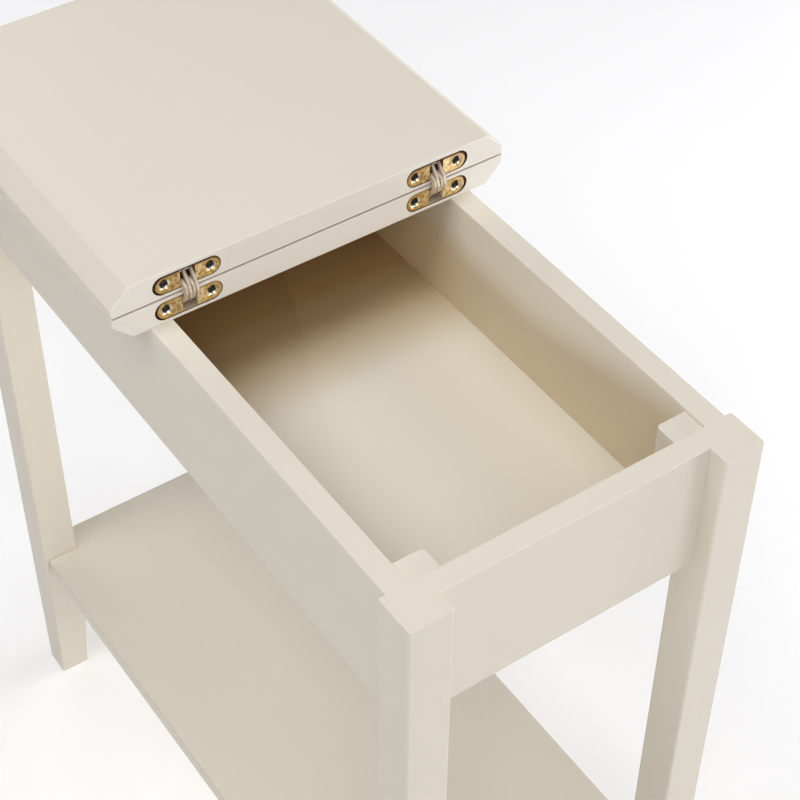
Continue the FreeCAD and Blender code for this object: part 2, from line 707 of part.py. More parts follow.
for which, z, z_face, z_under, sign in (
        ("fixed", z_leaf, z_top + D["top_thick"], z_top, -1),
        ("lid", z_leaf_lid, z_lid, z_lid + D["top_thick"], 1)):
    screws, cutters = [], list(bores["fixed_top"]) if which == "fixed" else []
    for side, sx in SIDES:
        leaf_screws, holes, mortise = hinge_leaf(which, side, sx, z)
        screws += leaf_screws
        cutters += holes + [mortise]
    board = top_half(which, z_face, z_under, sign)
    name = "fixed_top" if which == "fixed" else "lid"
    node(name, cut("Top_cut_" + which, board, [fuse("TopCutters_" + which, cutters)]))
    node(which + "_leaf_screws", group("LeafScrews_" + which, screws))
for side, sx in SIDES:
    for kind in ("a", "b"):
        hinge_links(kind, side, sx)

# ---------------------------------------------------- check and export
doc.recompute()
faults = ["%s: %s" % (o.Name, list(o.State)) for o in doc.Objects
          if "Invalid" in o.State or "Error" in o.State]
for name, solid in nodes.items():
    shape = solid.Shape
    if shape.isNull() or not shape.isValid() or shape.Volume <= 0:
        faults.append(name + ": shape is null, invalid or empty")
if faults:
    raise RuntimeError("model is not sound: " + "; ".join(faults))

os.makedirs("parts", exist_ok=True)
for name, solid in nodes.items():
    solid.Shape.exportStep(os.path.join("parts", name + ".step"))

print("%d nodes written" % len(nodes))
for name in sorted(nodes):
    shape = nodes[name].Shape
    b = shape.BoundBox
    print("%-26s solids %2d  volume %10.1f  x %8.2f %8.2f  y %8.2f %8.2f  z %7.2f %7.2f" % (
        name, len(shape.Solids), shape.Volume, b.XMin, b.XMax, b.YMin, b.YMax, b.ZMin, b.ZMax))
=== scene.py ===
"""Finish and studio for a narrow painted end table whose lid folds back on concealed hinges."""

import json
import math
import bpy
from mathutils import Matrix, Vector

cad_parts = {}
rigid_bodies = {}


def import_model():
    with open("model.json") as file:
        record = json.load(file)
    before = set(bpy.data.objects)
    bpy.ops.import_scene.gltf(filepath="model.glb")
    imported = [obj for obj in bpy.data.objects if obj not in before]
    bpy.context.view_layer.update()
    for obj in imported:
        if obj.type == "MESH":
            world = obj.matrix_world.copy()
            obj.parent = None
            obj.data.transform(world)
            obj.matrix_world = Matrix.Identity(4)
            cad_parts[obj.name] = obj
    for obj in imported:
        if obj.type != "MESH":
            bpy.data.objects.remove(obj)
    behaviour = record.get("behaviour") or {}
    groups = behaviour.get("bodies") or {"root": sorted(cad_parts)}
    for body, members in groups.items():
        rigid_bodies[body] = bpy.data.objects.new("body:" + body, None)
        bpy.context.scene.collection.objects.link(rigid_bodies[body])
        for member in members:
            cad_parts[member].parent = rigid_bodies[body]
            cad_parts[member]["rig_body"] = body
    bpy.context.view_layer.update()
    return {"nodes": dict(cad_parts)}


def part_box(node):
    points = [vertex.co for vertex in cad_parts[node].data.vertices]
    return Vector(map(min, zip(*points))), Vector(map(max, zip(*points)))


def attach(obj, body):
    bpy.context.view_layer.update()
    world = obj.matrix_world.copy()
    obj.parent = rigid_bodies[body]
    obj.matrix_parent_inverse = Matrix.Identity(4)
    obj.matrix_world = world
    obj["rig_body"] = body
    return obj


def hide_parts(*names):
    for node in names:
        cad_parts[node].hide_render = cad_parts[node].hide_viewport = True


bl_info = {
    "name": "Flip Top Table Finish",
    "version": (1, 0, 0),
    "blender": (4, 5, 0),
    "location": "3D Viewport > Sidebar > Table",
    "description": "Builds the painted boards, hinge fittings and studio around the packed table",
    "category": "Add Mesh",
}

import bpy
import numpy as np
from bpy.props import FloatProperty, FloatVectorProperty, IntProperty, PointerProperty
from mathutils import Matrix, Vector

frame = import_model()
NODES = frame["nodes"]

MM = 0.001
QUARTER = math.pi / 2
SQUARE = [(-1, -1), (1, -1), (1, 1), (-1, 1)]

LEAF_PLATE = 3.0 * MM  # thickness of a hinge leaf's round-ended plate
LEAF_BODY = 15.0 * MM  # width of the body behind it
SCREW_HEAD = 3.8 * MM  # radius of the hinge screws' heads

APRON, LEAF, TOP = map(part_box, ("side_apron_right", "hinge_leaf_fixed_right", "fixed_top"))
FRONT_WALL, REAR_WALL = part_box("front_apron")[1].y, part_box("rear_apron")[0].y

COMPARTMENT_X = APRON[0].x  # half its width
COMPARTMENT_Y = (FRONT_WALL + REAR_WALL) / 2  # its middle
COMPARTMENT_LONG = REAR_WALL - COMPARTMENT_Y  # half its length
COMPARTMENT_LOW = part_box("compartment_floor")[1].z
COMPARTMENT_HIGH = APRON[1].z
SEAM_Y, FOLD_Z = TOP[0].y, TOP[1].z
HINGE_X = (LEAF[0].x + LEAF[1].x) / 2
LEAF_HALF = (LEAF[1].z - LEAF[0].z) / 2  # half the leaf's height
LEAF_RISE = FOLD_Z - LEAF[1].z + LEAF_HALF  # its middle from the fold line
LEAF_STRAIGHT = LEAF[1].x - HINGE_X - LEAF_HALF  # its middle to its round end's centre

SIDES = "left", "right"
CORNERS = [(end, side, sx, sy) for end, sy in (("front", -1), ("rear", 1))
           for side, sx in zip(SIDES, (-1, 1))]


# ---- settings


def colour_setting(name, description, default):
    return FloatVectorProperty(name=name, description=description, default=default,
                               size=3, subtype="COLOR", min=0.0, max=1.0)


def length_setting(name, description, default, least, most):
    """A length.  Its three numbers are given in millimetres."""
    return FloatProperty(name=name, description=description, default=default * MM,
                         min=least * MM, max=most * MM, subtype="DISTANCE", unit="LENGTH")


def angle_setting(name, description, degrees):
    return FloatProperty(name=name, description=description, default=math.radians(degrees),
                         subtype="ANGLE")


def strength_setting(name, description, default, most):
    return FloatProperty(name=name, description=description, default=default,
                         min=0.0, max=most, subtype="FACTOR")


class PaintSettings(bpy.types.PropertyGroup):
    """Paint colour and how softly the painted edges are rounded."""

    colour: colour_setting("Paint", "Cream paint of the frame and the top", (0.75, 0.695, 0.59))
    # Painted shade: this warm, darker colour stands in for the shade on the compartment's inner
    # faces.
    inner_shade_colour: colour_setting(
        "Inner faces", "Thin warm paint on the aprons' inner faces", (0.625, 0.495, 0.30))
    panel_colour: colour_setting(
        "Floor panel", "Paint of the compartment's floor", (0.76, 0.705, 0.59))
    roughness: strength_setting("Roughness", "Gloss of the paint, mirror to chalk", 0.5, 1.0)
    leg_ease: length_setting("Leg edges", "Radius of the legs' long edges", 1.6, 0.2, 5.0)
    board_ease: length_setting(
        "Board edges", "Radius of the edges of aprons, shelf and top", 0.9, 0.2, 3.0)
    inner_ease: length_setting(
        "Inner leg edges", "Radius of the legs' edges that face the middle", 0.5, 0.1, 5.0)
    top_ease: length_setting("Leg tops", "Radius round the tops of the legs", 0.5, 0.1, 3.0)
    arc_steps: IntProperty(
        name="Arc steps", description="Faces across each rounded edge", default=5, min=2, max=12)


class FootSettings(bpy.types.PropertyGroup):
    """How the feet narrow on their two inner faces."""

    size: length_setting("Foot size", "Width of the square foot at the floor", 23.5, 10.0, 30.0)
    taper: length_setting("Taper", "Height over which the foot narrows", 87.0, 20.0, 200.0)


class TopSettings(bpy.types.PropertyGroup):
    """Edge profile of the two halves of the top."""

    edge: length_setting("Upright edge", "Height of the edge above the bevel", 6.0, 2.0, 15.0)
    bevel: length_setting("Bevel", "Width and height of the bevel", 12.5, 4.0, 18.0)
    knee: length_setting(
        "Bevel knee", "Radius where the upright edge turns into the bevel", 2.2, 0.2, 6.0)
    mortise_gap: length_setting(
        "Mortise gap", "Gap round the hinge leaves let into the butt edges", 0.30, 0.05, 1.0)


class HingeSettings(bpy.types.PropertyGroup):
    """Screws and finish of the two concealed hinges."""

    brass: colour_setting("Brass", "Plating of the hinge leaves", (0.74, 0.51, 0.20))
    steel: colour_setting("Link steel", "Steel of the hinge links", (0.76, 0.645, 0.50))
    screw_pitch: length_setting(
        "Screw spacing", "Distance between the two screws of a leaf", 31.0, 20.0, 40.0)


class StageSettings(bpy.types.PropertyGroup):
    """Camera and studio light."""

    camera_place: FloatVectorProperty(
        name="Camera", description="Where the camera stands",
        default=(-0.4756, -0.7820, 1.3648), size=3, subtype="XYZ", unit="LENGTH")
    yaw: angle_setting("Yaw", "Camera's turn from +Y towards +X", 34.874)
    pitch: angle_setting("Pitch", "Camera's tilt, negative looks down", -44.666)
    roll: angle_setting("Roll", "Camera's turn about its own line of sight", 0.461)
    lens: FloatProperty(
        name="Lens", description="Focal length on a 36 mm sensor",
        default=87.63, min=10.0, max=400.0, subtype="DISTANCE_CAMERA")
    brightness: strength_setting("Softboxes", "Strength of all softboxes", 1.0, 10.0)
    sky: strength_setting("Sky", "Brightness of the plain surroundings", 1.0, 5.0)
    floor_glow: strength_setting("Floor glow", "How far the floor is lit from within", 0.18, 2.0)


# ---- surfaces as numpy arrays


def rounded_outline(corners, radii, steps):
    """Closed outline with every corner swapped for an arc.

    The corners are put in counter-clockwise order.  At a corner where the
    line turns by an angle, the arc starts the radius times the tangent of
    half that angle before the corner, and its normal turns evenly from the
    first side's to the second's.  Returns the points, the outward normals
    and, for each point, how far it is inside an arc: 0 at both ends of the
    arc and 1 in its middle."""
    corner = np.asarray(corners, float)
    radius = np.broadcast_to(np.asarray(radii, float), len(corner))[:, None]
    following = np.roll(corner, -1, axis=0)
    if (corner[:, 0] * following[:, 1] - corner[:, 1] * following[:, 0]).sum() < 0:
        corner, radius = corner[::-1], radius[::-1]
    before = corner - np.roll(corner, 1, axis=0)
    before /= np.linalg.norm(before, axis=1, keepdims=True)
    after = np.roll(before, -1, axis=0)
    cross = before[:, 0] * after[:, 1] - before[:, 1] * after[:, 0]
    turn = np.arctan2(cross, (before * after).sum(axis=1))
    start = corner - before * radius * np.tan(np.abs(turn) / 2)[:, None]
    normal = np.stack([before[:, 1], -before[:, 0]], axis=1)
    side = np.sign(turn)[:, None]
    centre = start - side * radius * normal
    share = np.linspace(0.0, 1.0, steps + 1)
    angle = turn[:, None] * share
    c, s = np.cos(angle), np.sin(angle)
    nx = normal[:, :1] * c - normal[:, 1:] * s
    ny = normal[:, :1] * s + normal[:, 1:] * c
    normals = np.stack([nx, ny], axis=2)
    points = centre[:, None, :] + (side * radius)[:, None, :] * normals
    inside = np.broadcast_to(np.sin(share * math.pi), angle.shape)
    return points.reshape(-1, 2), normals.reshape(-1, 2), inside.reshape(-1)


def eased_stations(low, high, ease_low, ease_high, steps):
    """Stations along a straight run whose two ends are quarter circles:
    columns are the place along the run, the inset of the ring there, the
    share of the normal that points along the run, and how far inside an arc
    it is."""
    a = np.linspace(0.0, QUARTER, steps + 1)
    first, last = (np.stack([end - way * ease * (1 - np.cos(a)), ease * (1 - np.sin(a)),
                             way * np.cos(a), np.sin(2 * a)], axis=1)
                   for end, ease, way in ((low, ease_low, -1), (high, ease_high, 1)))
    return np.concatenate([first, last[::-1]])


def plain_stations(place, inset=0.0):
    """Stations at those places along a run, for rings with flat shading."""
    place = np.asarray(place, float)
    return np.stack([place, place * 0 + inset, place * 0, place * 0], axis=1)


def lay_along(axis, u, v, w):
    """Turns outline coordinates u, v and the place w along the run into X, Y
    and Z by a cyclic change, so that outward stays outward."""
    return np.roll(np.stack([u, v, w], axis=-1), "zxy".index(axis), axis=-1)


def ring_faces(rings, around, caps=True):
    """Quads between rings of equal length and, at both ends, one flat cap."""
    i = np.arange(rings - 1)[:, None] * around
    j = np.arange(around)[None, :]
    k = (j + 1) % around
    quads = np.stack([i + j, i + k, i + k + around, i + j + around], axis=-1)
    faces = quads.reshape(-1, 4).tolist()
    if caps:
        last = (rings - 1) * around
        faces.append(list(range(around))[::-1])
        faces.append(list(range(last, last + around)))
    return faces


def skin(axis, rings, outline, stations):
    """A surface through rings of points.  They share the outline's normals,
    which lean along the run as the stations say."""
    _, normals, inside = outline
    w, _, lean, end_arc = stations.T
    level = np.sqrt(np.clip(1 - lean ** 2, 0, 1))[:, None]
    along, flat = (np.broadcast_to(value[:, None], rings.shape[:2]) for value in (w, lean))
    verts = lay_along(axis, rings[..., 0], rings[..., 1], along)
    directions = lay_along(axis, normals[:, 0] * level, normals[:, 1] * level, flat)
    edge = np.maximum(inside * level, end_arc[:, None])
    return (verts.reshape(-1, 3), directions.reshape(-1, 3), edge.reshape(-1),
            ring_faces(*flat.shape))


def swept_board(axis, outline, stations):
    """An outline carried along a straight run.  Each ring is the outline
    drawn in along its own normals by the station's inset."""
    points, normals, _ = outline
    return skin(axis, points - normals * stations[:, 1, None, None], outline, stations)


def join_surfaces(parts):
    """Several surfaces as one: stacked vertices, normals, edge marks, faces."""
    verts, directions, edges, faces = zip(*parts)
    starts = np.cumsum([0] + [len(v) for v in verts])
    joined = [[start + k for k in face] for start, f in zip(starts.tolist(), faces) for face in f]
    return np.concatenate(verts), np.concatenate(directions), np.concatenate(edges), joined


def add_object(name, data):
    """A new object at the origin, in the scene."""
    thing = bpy.data.objects.new(name, data)
    bpy.context.scene.collection.objects.link(thing)
    return thing


def modify(piece, kind, **settings):
    modifier = piece.modifiers.new(kind.lower(), kind)
    for key, value in settings.items():
        setattr(modifier, key, value)


def make_piece(name, surface, material, node=None, smooth_normals=True):
    """Puts a surface into a mesh object and, where it stands for a node, ties
    it to the frame."""
    verts, directions, edge, faces = surface
    mesh = bpy.data.meshes.new(name)
    mesh.from_pydata(verts.tolist(), [], faces)
    mesh.shade_smooth()
    mark = mesh.attributes.new("edge_mark", "FLOAT", "POINT")
    mark.data.foreach_set("value", edge.astype(np.float32))
    if smooth_normals:
        mesh.normals_split_custom_set_from_vertices(directions.tolist())
    mesh.materials.append(material)
    piece = add_object(name, mesh)
    if node:
        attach(piece, NODES[node]["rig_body"])
        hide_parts(node)
    return piece


# ---- shader expressions


def both_ways(operation):
    """An operator and its reflected form, each of which adds a Math node."""
    return (lambda self, other: self.calc(operation, self, other),
            lambda self, other: self.calc(operation, other, self))


class Wire:
    """A shader socket that takes part in Python expressions."""

    def __init__(self, tree, socket):
        self.tree = tree
        self.socket = socket

    def calc(self, operation, *values):
        node = self.tree.nodes.new("ShaderNodeMath")
        node.operation = operation
        for place, value in enumerate(values):
            if isinstance(value, Wire):
                self.tree.links.new(value.socket, node.inputs[place])
            else:
                node.inputs[place].default_value = value
        return Wire(self.tree, node.outputs[0])

    __add__, __radd__ = both_ways("ADD")
    __sub__, __rsub__ = both_ways("SUBTRACT")
    __mul__, __rmul__ = both_ways("MULTIPLY")
    __truediv__, __rtruediv__ = both_ways("DIVIDE")

    def size(self):
        return self.calc("ABSOLUTE", self)

    def root(self):
        return self.calc("SQRT", self)

    def least(self, other):
        return self.calc("MINIMUM", self, other)

    def most(self, other):
        return self.calc("MAXIMUM", self, other)

    def above(self, level, soft):
        """0 below the level, 1 above it by soft, straight between."""
        return ((self - level) / soft).most(0.0).least(1.0)

    def below(self, level, soft):
        """1 below the level by soft, 0 above it, straight between."""
        return ((level - self) / soft).most(0.0).least(1.0)


class Finish:
    """The nodes of a new material or world: one method adds any node, and the
    rest name the few patterns that this table's finishes share."""

    def __init__(self, data):
        data.use_nodes = True
        self.data, self.tree = data, data.node_tree
        self.surface = self.tree.nodes.get("Principled BSDF") or self.tree.nodes["Background"]

    def add(self, kind, settings, sockets, out=0):
        """Adds a node of that kind, sets its settings, then its sockets, and
        returns one of its outputs.  A ramp's stops are (place, colour)."""
        node = self.tree.nodes.new(kind)
        for key, value in settings.items():
            if key == "stops":
                self.set_stops(node.color_ramp, value)
            else:
                setattr(node, key, value)
        for key, value in sockets.items():
            self.feed(node.inputs[key], value)
        return Wire(self.tree, node.outputs[out])

    def set_stops(self, ramp, stops):
        ramp.interpolation = "EASE"
        while len(ramp.elements) < len(stops):
            ramp.elements.new(0.5)
        for element, (place, colour) in zip(ramp.elements, stops):
            element.position = place
            element.color = (*colour, 1.0)

    def feed(self, socket, value):
        if isinstance(value, Wire):
            self.tree.links.new(value.socket, socket)
        elif isinstance(value, (tuple, list)) and socket.type == "RGBA":
            socket.default_value = (*value[:3], 1.0)
        else:
            socket.default_value = value

    def put(self, **sockets):
        """Feeds the surface or the sky, base_color=... for Base Color."""
        for key, value in sockets.items():
            self.feed(self.surface.inputs[key.replace("_", " ").title()], value)

    def place(self):
        """X, Y and Z of the point in the table's own frame."""
        place = self.add("ShaderNodeTexCoord", {}, {}, "Object")
        split = self.add("ShaderNodeSeparateXYZ", {}, {"Vector": place})
        return [Wire(self.tree, socket) for socket in split.socket.node.outputs]

    def noise(self, scale, detail=2.0, rough=0.5, stretch=(1.0, 1.0, 1.0)):
        """Noise from 0 to 1 on the table's own coordinates times stretch."""
        place = self.add("ShaderNodeTexCoord", {}, {}, "Object")
        vector = self.add("ShaderNodeMapping", {}, {"Vector": place, "Scale": stretch})
        return self.add("ShaderNodeTexNoise", {}, {
            "Vector": vector, "Scale": scale, "Detail": detail, "Roughness": rough}, "Fac")

    def edge_mark(self):
        return self.add("ShaderNodeAttribute", {"attribute_name": "edge_mark"}, {}, "Fac")

    def blend(self, share, first, second):
        """Mix of two colours."""
        return self.add("ShaderNodeMix", {"data_type": "RGBA"}, {
            0: share, 6: first, 7: second}, 2)

    def layered(self, colour, *layers):
        """Colour with each (share, colour) laid over what is there so far."""
        for share, layer in layers:
            colour = self.blend(share, colour, layer)
        return colour

    def bump(self, height, strength, distance):
        return self.add("ShaderNodeBump", {}, {
            "Height": height, "Strength": strength, "Distance": distance})


def shade(colour, factor):
    return tuple(min(1.0, c * factor) for c in colour)


# ---- finishes


EDGE = 0.3 * MM  # width over which a mask that follows an edge comes in
SLACK = 0.2 * MM  # how far such a mask reaches past the face it covers

# Painted shade in the compartment, in layers: where each comes in, and over what width.
INNER_SHADE_BORDER = COMPARTMENT_HIGH - 12 * MM, 30 * MM  # below this height
WARM_SHADE_BORDER = -38 * MM, 42 * MM  # behind this place
DEEP_SHADE_BORDER = 0.0, 45 * MM  # behind this place
LIT_WALL_TOP_BORDER = COMPARTMENT_HIGH - 37 * MM, 22 * MM  # painted light on the side walls' top, above this height
RAGGED = 20 * MM  # spread of the rear borders
# Towards the front the painted shade's border climbs, by this share of the way
# past the place where it turns, and it is level behind that.
BORDER_SLOPE, BORDER_TURN, BORDER_SHIFT = 0.2, -0.10, 0.13

# Painted shade colours in the compartment: on the aprons' inner faces, and on the floor panel
# under the fixed half.
SHADE_ON_APRONS = (0.90, 0.73, 0.49), (0.92, 0.73, 0.50)  # warm and deep painted shade
SHADE_ON_FLOOR = (0.765, 0.62, 0.41), (0.56, 0.36, 0.17)
LIT_WALL_TOP_FACTOR = 1.22  # painted light on the side walls' top, against the paint's own colour
SEAM_LIGHT = 1.12, 1.15, 1.22  # painted highlight on the butt edges, the same for red, green, blue
BUTT_FACE = 0.7 * MM, 0.4 * MM  # within this distance of the seam
# Painted shadow in the crease where the two halves meet at the fold, and its width.
FOLD_SHADE_COLOUR, FOLD_WIDE = (0.34, 0.20, 0.12), 0.5 * MM

GLEAM_GOLD, GLEAM_BAND = (0.95, 0.80, 0.50), (11.0 * MM, 2.5 * MM)  # painted reflection beside the links
# Brown round the leaf's rim, ragged by the clouds.
RIM_BROWN, RIM, RIM_RAGGED = (0.32, 0.15, 0.05), (LEAF_HALF - 1.3 * MM, 1.1 * MM), 1.8 * MM
# Painted shade down the leaf's upright wall, in the mortise gap, and where that wall starts.
GAP_SHADE, LEAF_WALL = (0.035, 0.02, 0.01), (LEAF_HALF - 0.16 * MM, 0.12 * MM)
# Painted shade of the gaps between the link plates, brown along their edges, partly grime.
LINK_EDGE_SHADE = (0.22, 0.11, 0.07)
# Grime and painted shade in the screws' recesses.
GRIME_AND_SHADE = (0.014, 0.009, 0.006)
BEECH_DARK, BEECH_LIGHT = (0.30, 0.17, 0.08), (0.62, 0.43, 0.25)


def paint_finish(paint, colour, grain_axis, roughness, inner, warm, deep):
    """Satin paint on wood.  Slow patches and streaks along the grain vary its
    colour by a few percent, a fine orange peel breaks up the gloss, and
    rounded edges are a little lighter, partly rubbed paint and partly a
    painted highlight.  In the compartment painted shade darkens and warms the
    colour from a border downwards, more so towards the rear, and a painted
    pool of light brightens the side walls along their top.  The butt edges at
    the seam carry a paler painted highlight, with a painted brown shadow where
    the two halves meet."""
    stretch = [38.0, 38.0, 38.0]
    stretch["xyz".index(grain_axis)] = 2.6
    patches = paint.noise(5.0, 3.0, 0.55)
    grain = paint.noise(5.0, 4.0, 0.62, stretch)
    peel = paint.noise(620.0)
    brush = paint.noise(6.0, 2.0, 0.6, [4 * k for k in stretch])
    edge = paint.edge_mark()
    x, y, z = paint.place()

    wide = x.size().below(COMPARTMENT_X + SLACK, EDGE)
    long = (y - COMPARTMENT_Y).size().below(COMPARTMENT_LONG + SLACK, EDGE)
    room = wide * long * z.above(COMPARTMENT_LOW - 2 * SLACK, EDGE)
    climb = z + (y.least(BORDER_TURN) + BORDER_SHIFT) * BORDER_SLOPE
    reach = y + (patches - 0.5) * RAGGED
    # Painted shade in the compartment: from the border down, warmer and darker towards the rear.
    inside = room * climb.below(*INNER_SHADE_BORDER)
    # Painted light along the top of the compartment's side walls.
    wall = x.size().above(COMPARTMENT_X - 2 * SLACK, SLACK)
    lip = room * wall * z.below(COMPARTMENT_HIGH - 0.5 * MM, EDGE)
    # Painted highlight on the butt edges at the seam.
    butt = (y - SEAM_Y).size().below(*BUTT_FACE) * z.above(COMPARTMENT_HIGH, EDGE)
    # Painted shadow along the fold between the two halves.
    fold = butt * (z - FOLD_Z).size().below(FOLD_WIDE, EDGE)

    tone = patches * 0.6 + grain * 0.4
    # Over the tone: painted shade in the compartment, then the painted light and highlights below.
    coat = paint.layered(
        paint.blend(tone, shade(colour, 0.965), shade(colour, 1.03)), (inside, inner),
        (inside * reach.above(*WARM_SHADE_BORDER), warm), (inside * reach.above(*DEEP_SHADE_BORDER), deep),
        (lip * climb.above(*LIT_WALL_TOP_BORDER), shade(colour, LIT_WALL_TOP_FACTOR)),
        (butt, tuple(c * s for c, s in zip(colour, SEAM_LIGHT))), (fold * 0.6, FOLD_SHADE_COLOUR),
        # Edges a little lighter: partly rubbed paint, partly a painted highlight.
        (edge * 0.15, shade(colour, 1.08)))
    relief = peel * 0.35 + brush * 0.4 + grain * 0.25
    paint.put(base_color=coat,
              roughness=roughness + (peel - 0.5) * 0.10 + (patches - 0.5) * 0.12 - edge * 0.06,
              normal=paint.bump(relief, 0.22, 0.12 * MM))
    paint.surface.inputs["Specular IOR Level"].default_value = 0.42


def brass_finish(brass, colour):
    """Plated brass with slow dents, clouds of tarnish and scratches along the
    leaf, browned round the rim, with a pale painted reflection on both sides
    of the links and painted shade dark down its upright wall, in the mortise
    gap.  The rim lies half the leaf's height away from the line between its
    round ends' centres."""
    dents = brass.noise(330.0)
    clouds = brass.noise(420.0, 4.0, 0.65)
    spots = brass.noise(1400.0, 3.0, 0.7)
    scratches = brass.noise(1.0, 3.0, 0.7, (60.0, 1500.0, 1500.0))
    x, y, z = brass.place()
    along = (x.size() - HINGE_X).size()
    rise = ((z - FOLD_Z).size() - LEAF_RISE).size()
    past = (along - LEAF_STRAIGHT).most(0.0)
    out = (past * past + rise * rise).root()
    rim = (out + (clouds - 0.5) * RIM_RAGGED).above(*RIM)
    # Painted reflection: pale brass on both sides of the links.
    painted_gleam = along.below(*GLEAM_BAND) * clouds.above(0.42, 0.12)
    # Painted shade: the upright wall is made dark, matte and barely metallic.
    wall = out.above(*LEAF_WALL)
    tone = brass.layered(
        brass.blend(clouds.above(0.34, 0.28), shade(colour, 0.60), shade(colour, 1.30)),
        (painted_gleam * 0.8, GLEAM_GOLD), (rim * 0.78, RIM_BROWN),
        (spots.above(0.55, 0.2) * 0.4, shade(colour, 0.5)), (wall * 0.95, GAP_SHADE))
    relief = dents * 0.72 + scratches * 0.1 + clouds * 0.18
    brass.put(base_color=tone, metallic=1.0 - wall * 0.9,
              roughness=0.18 + clouds * 0.14 + spots * 0.08 + rim * 0.1 + wall * 0.4,
              normal=brass.bump(relief, 1.0, 0.42 * MM))


def steel_finish(steel, colour, roughness, streak, metal=1.0, dirt_and_shade=0.0, dirt_and_shade_colour=GRIME_AND_SHADE):
    """Drawn steel with streaks along one direction and, where asked, a dark
    colour on the marked edges and in the marked hollows: on the link plates
    painted shade of the gaps between them, partly grime, and in the screws'
    recesses grime and painted shade."""
    streaks = steel.noise(1.0, 4.0, 0.7, streak)
    clouds = steel.noise(180.0, 3.0, 0.6)
    dirt_and_shade_share = steel.edge_mark() * dirt_and_shade
    tone = steel.blend(streaks * 0.7 + clouds * 0.3, shade(colour, 0.62), shade(colour, 1.35))
    steel.put(base_color=steel.blend(dirt_and_shade_share, tone, dirt_and_shade_colour), metallic=metal - dirt_and_shade_share * metal,
              roughness=roughness + streaks * 0.15 + dirt_and_shade_share * 0.45,
              normal=steel.bump(streaks, 0.5, 0.10 * MM))


def beech_finish(beech, light):
    """Bare beech with short pores along the grain, its colour scaled by the light factor; the dark
    copy on the mortise walls is painted shade.
    """
    rings = beech.noise(6.0, 4.0, 0.6, (60.0, 10.0, 60.0))
    pores = beech.noise(1.0, stretch=(900.0, 120.0, 900.0))
    tone = beech.blend(rings * 0.7 + pores * 0.3, shade(BEECH_DARK, light),
                       shade(BEECH_LIGHT, light))
    beech.put(base_color=tone, roughness=0.55 + pores * 0.2,
              normal=beech.bump(pores, 0.3, 0.1 * MM))


_finishes = {}


def finish(kind):
    """The material of that name, built the first time it is asked for."""
    if kind in _finishes:
        return _finishes[kind]
    paint, hinge = bpy.context.scene.table_paint, bpy.context.scene.table_hinge
    cream, inner, panel, brass, steel = map(tuple, (
        paint.colour, paint.inner_shade_colour, paint.panel_colour, hinge.brass, hinge.steel))
    rough, even = paint.roughness, (300.0, 300.0, 300.0)
    makers = {
        # The inner, warm and deep colours are painted shade in the compartment.
        "paint_x": (paint_finish, cream, "x", rough, inner, *SHADE_ON_APRONS),
        "paint_y": (paint_finish, cream, "y", rough, inner, *SHADE_ON_APRONS),
        "paint_z": (paint_finish, cream, "z", rough, panel, panel, panel),
        "panel": (paint_finish, panel, "y", rough, panel, *SHADE_ON_FLOOR),
        "brass": (brass_finish, brass),
        # The link plates' edges are darkened brown: painted shade of the gaps between them, partly
        # grime.
        "link_steel": (steel_finish, steel, 0.34, (1500.0, 1500.0, 70.0), 0.55, 0.85, LINK_EDGE_SHADE),
        # The screws' recesses are darkened nearly black: grime and painted shade.
        "screw_steel": (steel_finish, (0.84, 0.75, 0.60), 0.17, (900.0, 900.0, 900.0), 1.0, 0.98),
        "zinc": (steel_finish, (0.52, 0.52, 0.50), 0.35, (300.0, 60.0, 300.0)),
        "beech": (beech_finish, 1.0),
        # Beech darkened far below its own colour for the mortise walls: painted shade of the gap.
        "mortise_shade_beech": (beech_finish, 0.18),
        # Two copies of the hinge core: pale on the fixed leaf as painted light in its lit cavity,
        # dark brown on the lid as painted shade in its cavity that faces down.
        "hinge_core_fixed": (steel_finish, (0.80, 0.63, 0.48), 0.45, even, 0.3),
        "hinge_core_lid": (steel_finish, (0.26, 0.09, 0.03), 0.5, even, 0.3),
    }
    make, *details = makers[kind]
    work = Finish(bpy.data.materials.new(kind))
    make(work, *details)
    _finishes[kind] = work.data
    return work.data


def dress_node(name, material, edge=0.0):
    """Gives a CAD node its material and, where asked, softened edges."""
    node = NODES[name]
    node.data.materials.clear()
    node.data.materials.append(material)
    if edge:
        modify(node, "WELD", merge_threshold=MM / 1000)
        modify(node, "DECIMATE", decimate_type="DISSOLVE", angle_limit=math.radians(1.5))
        modify(node, "BEVEL", width=edge, segments=2, limit_method="ANGLE",
               angle_limit=math.radians(35), harden_normals=True)


# ---- table pieces


def painted(node, surface, kind):
    make_piece("painted_" + node, surface, finish(kind), node)


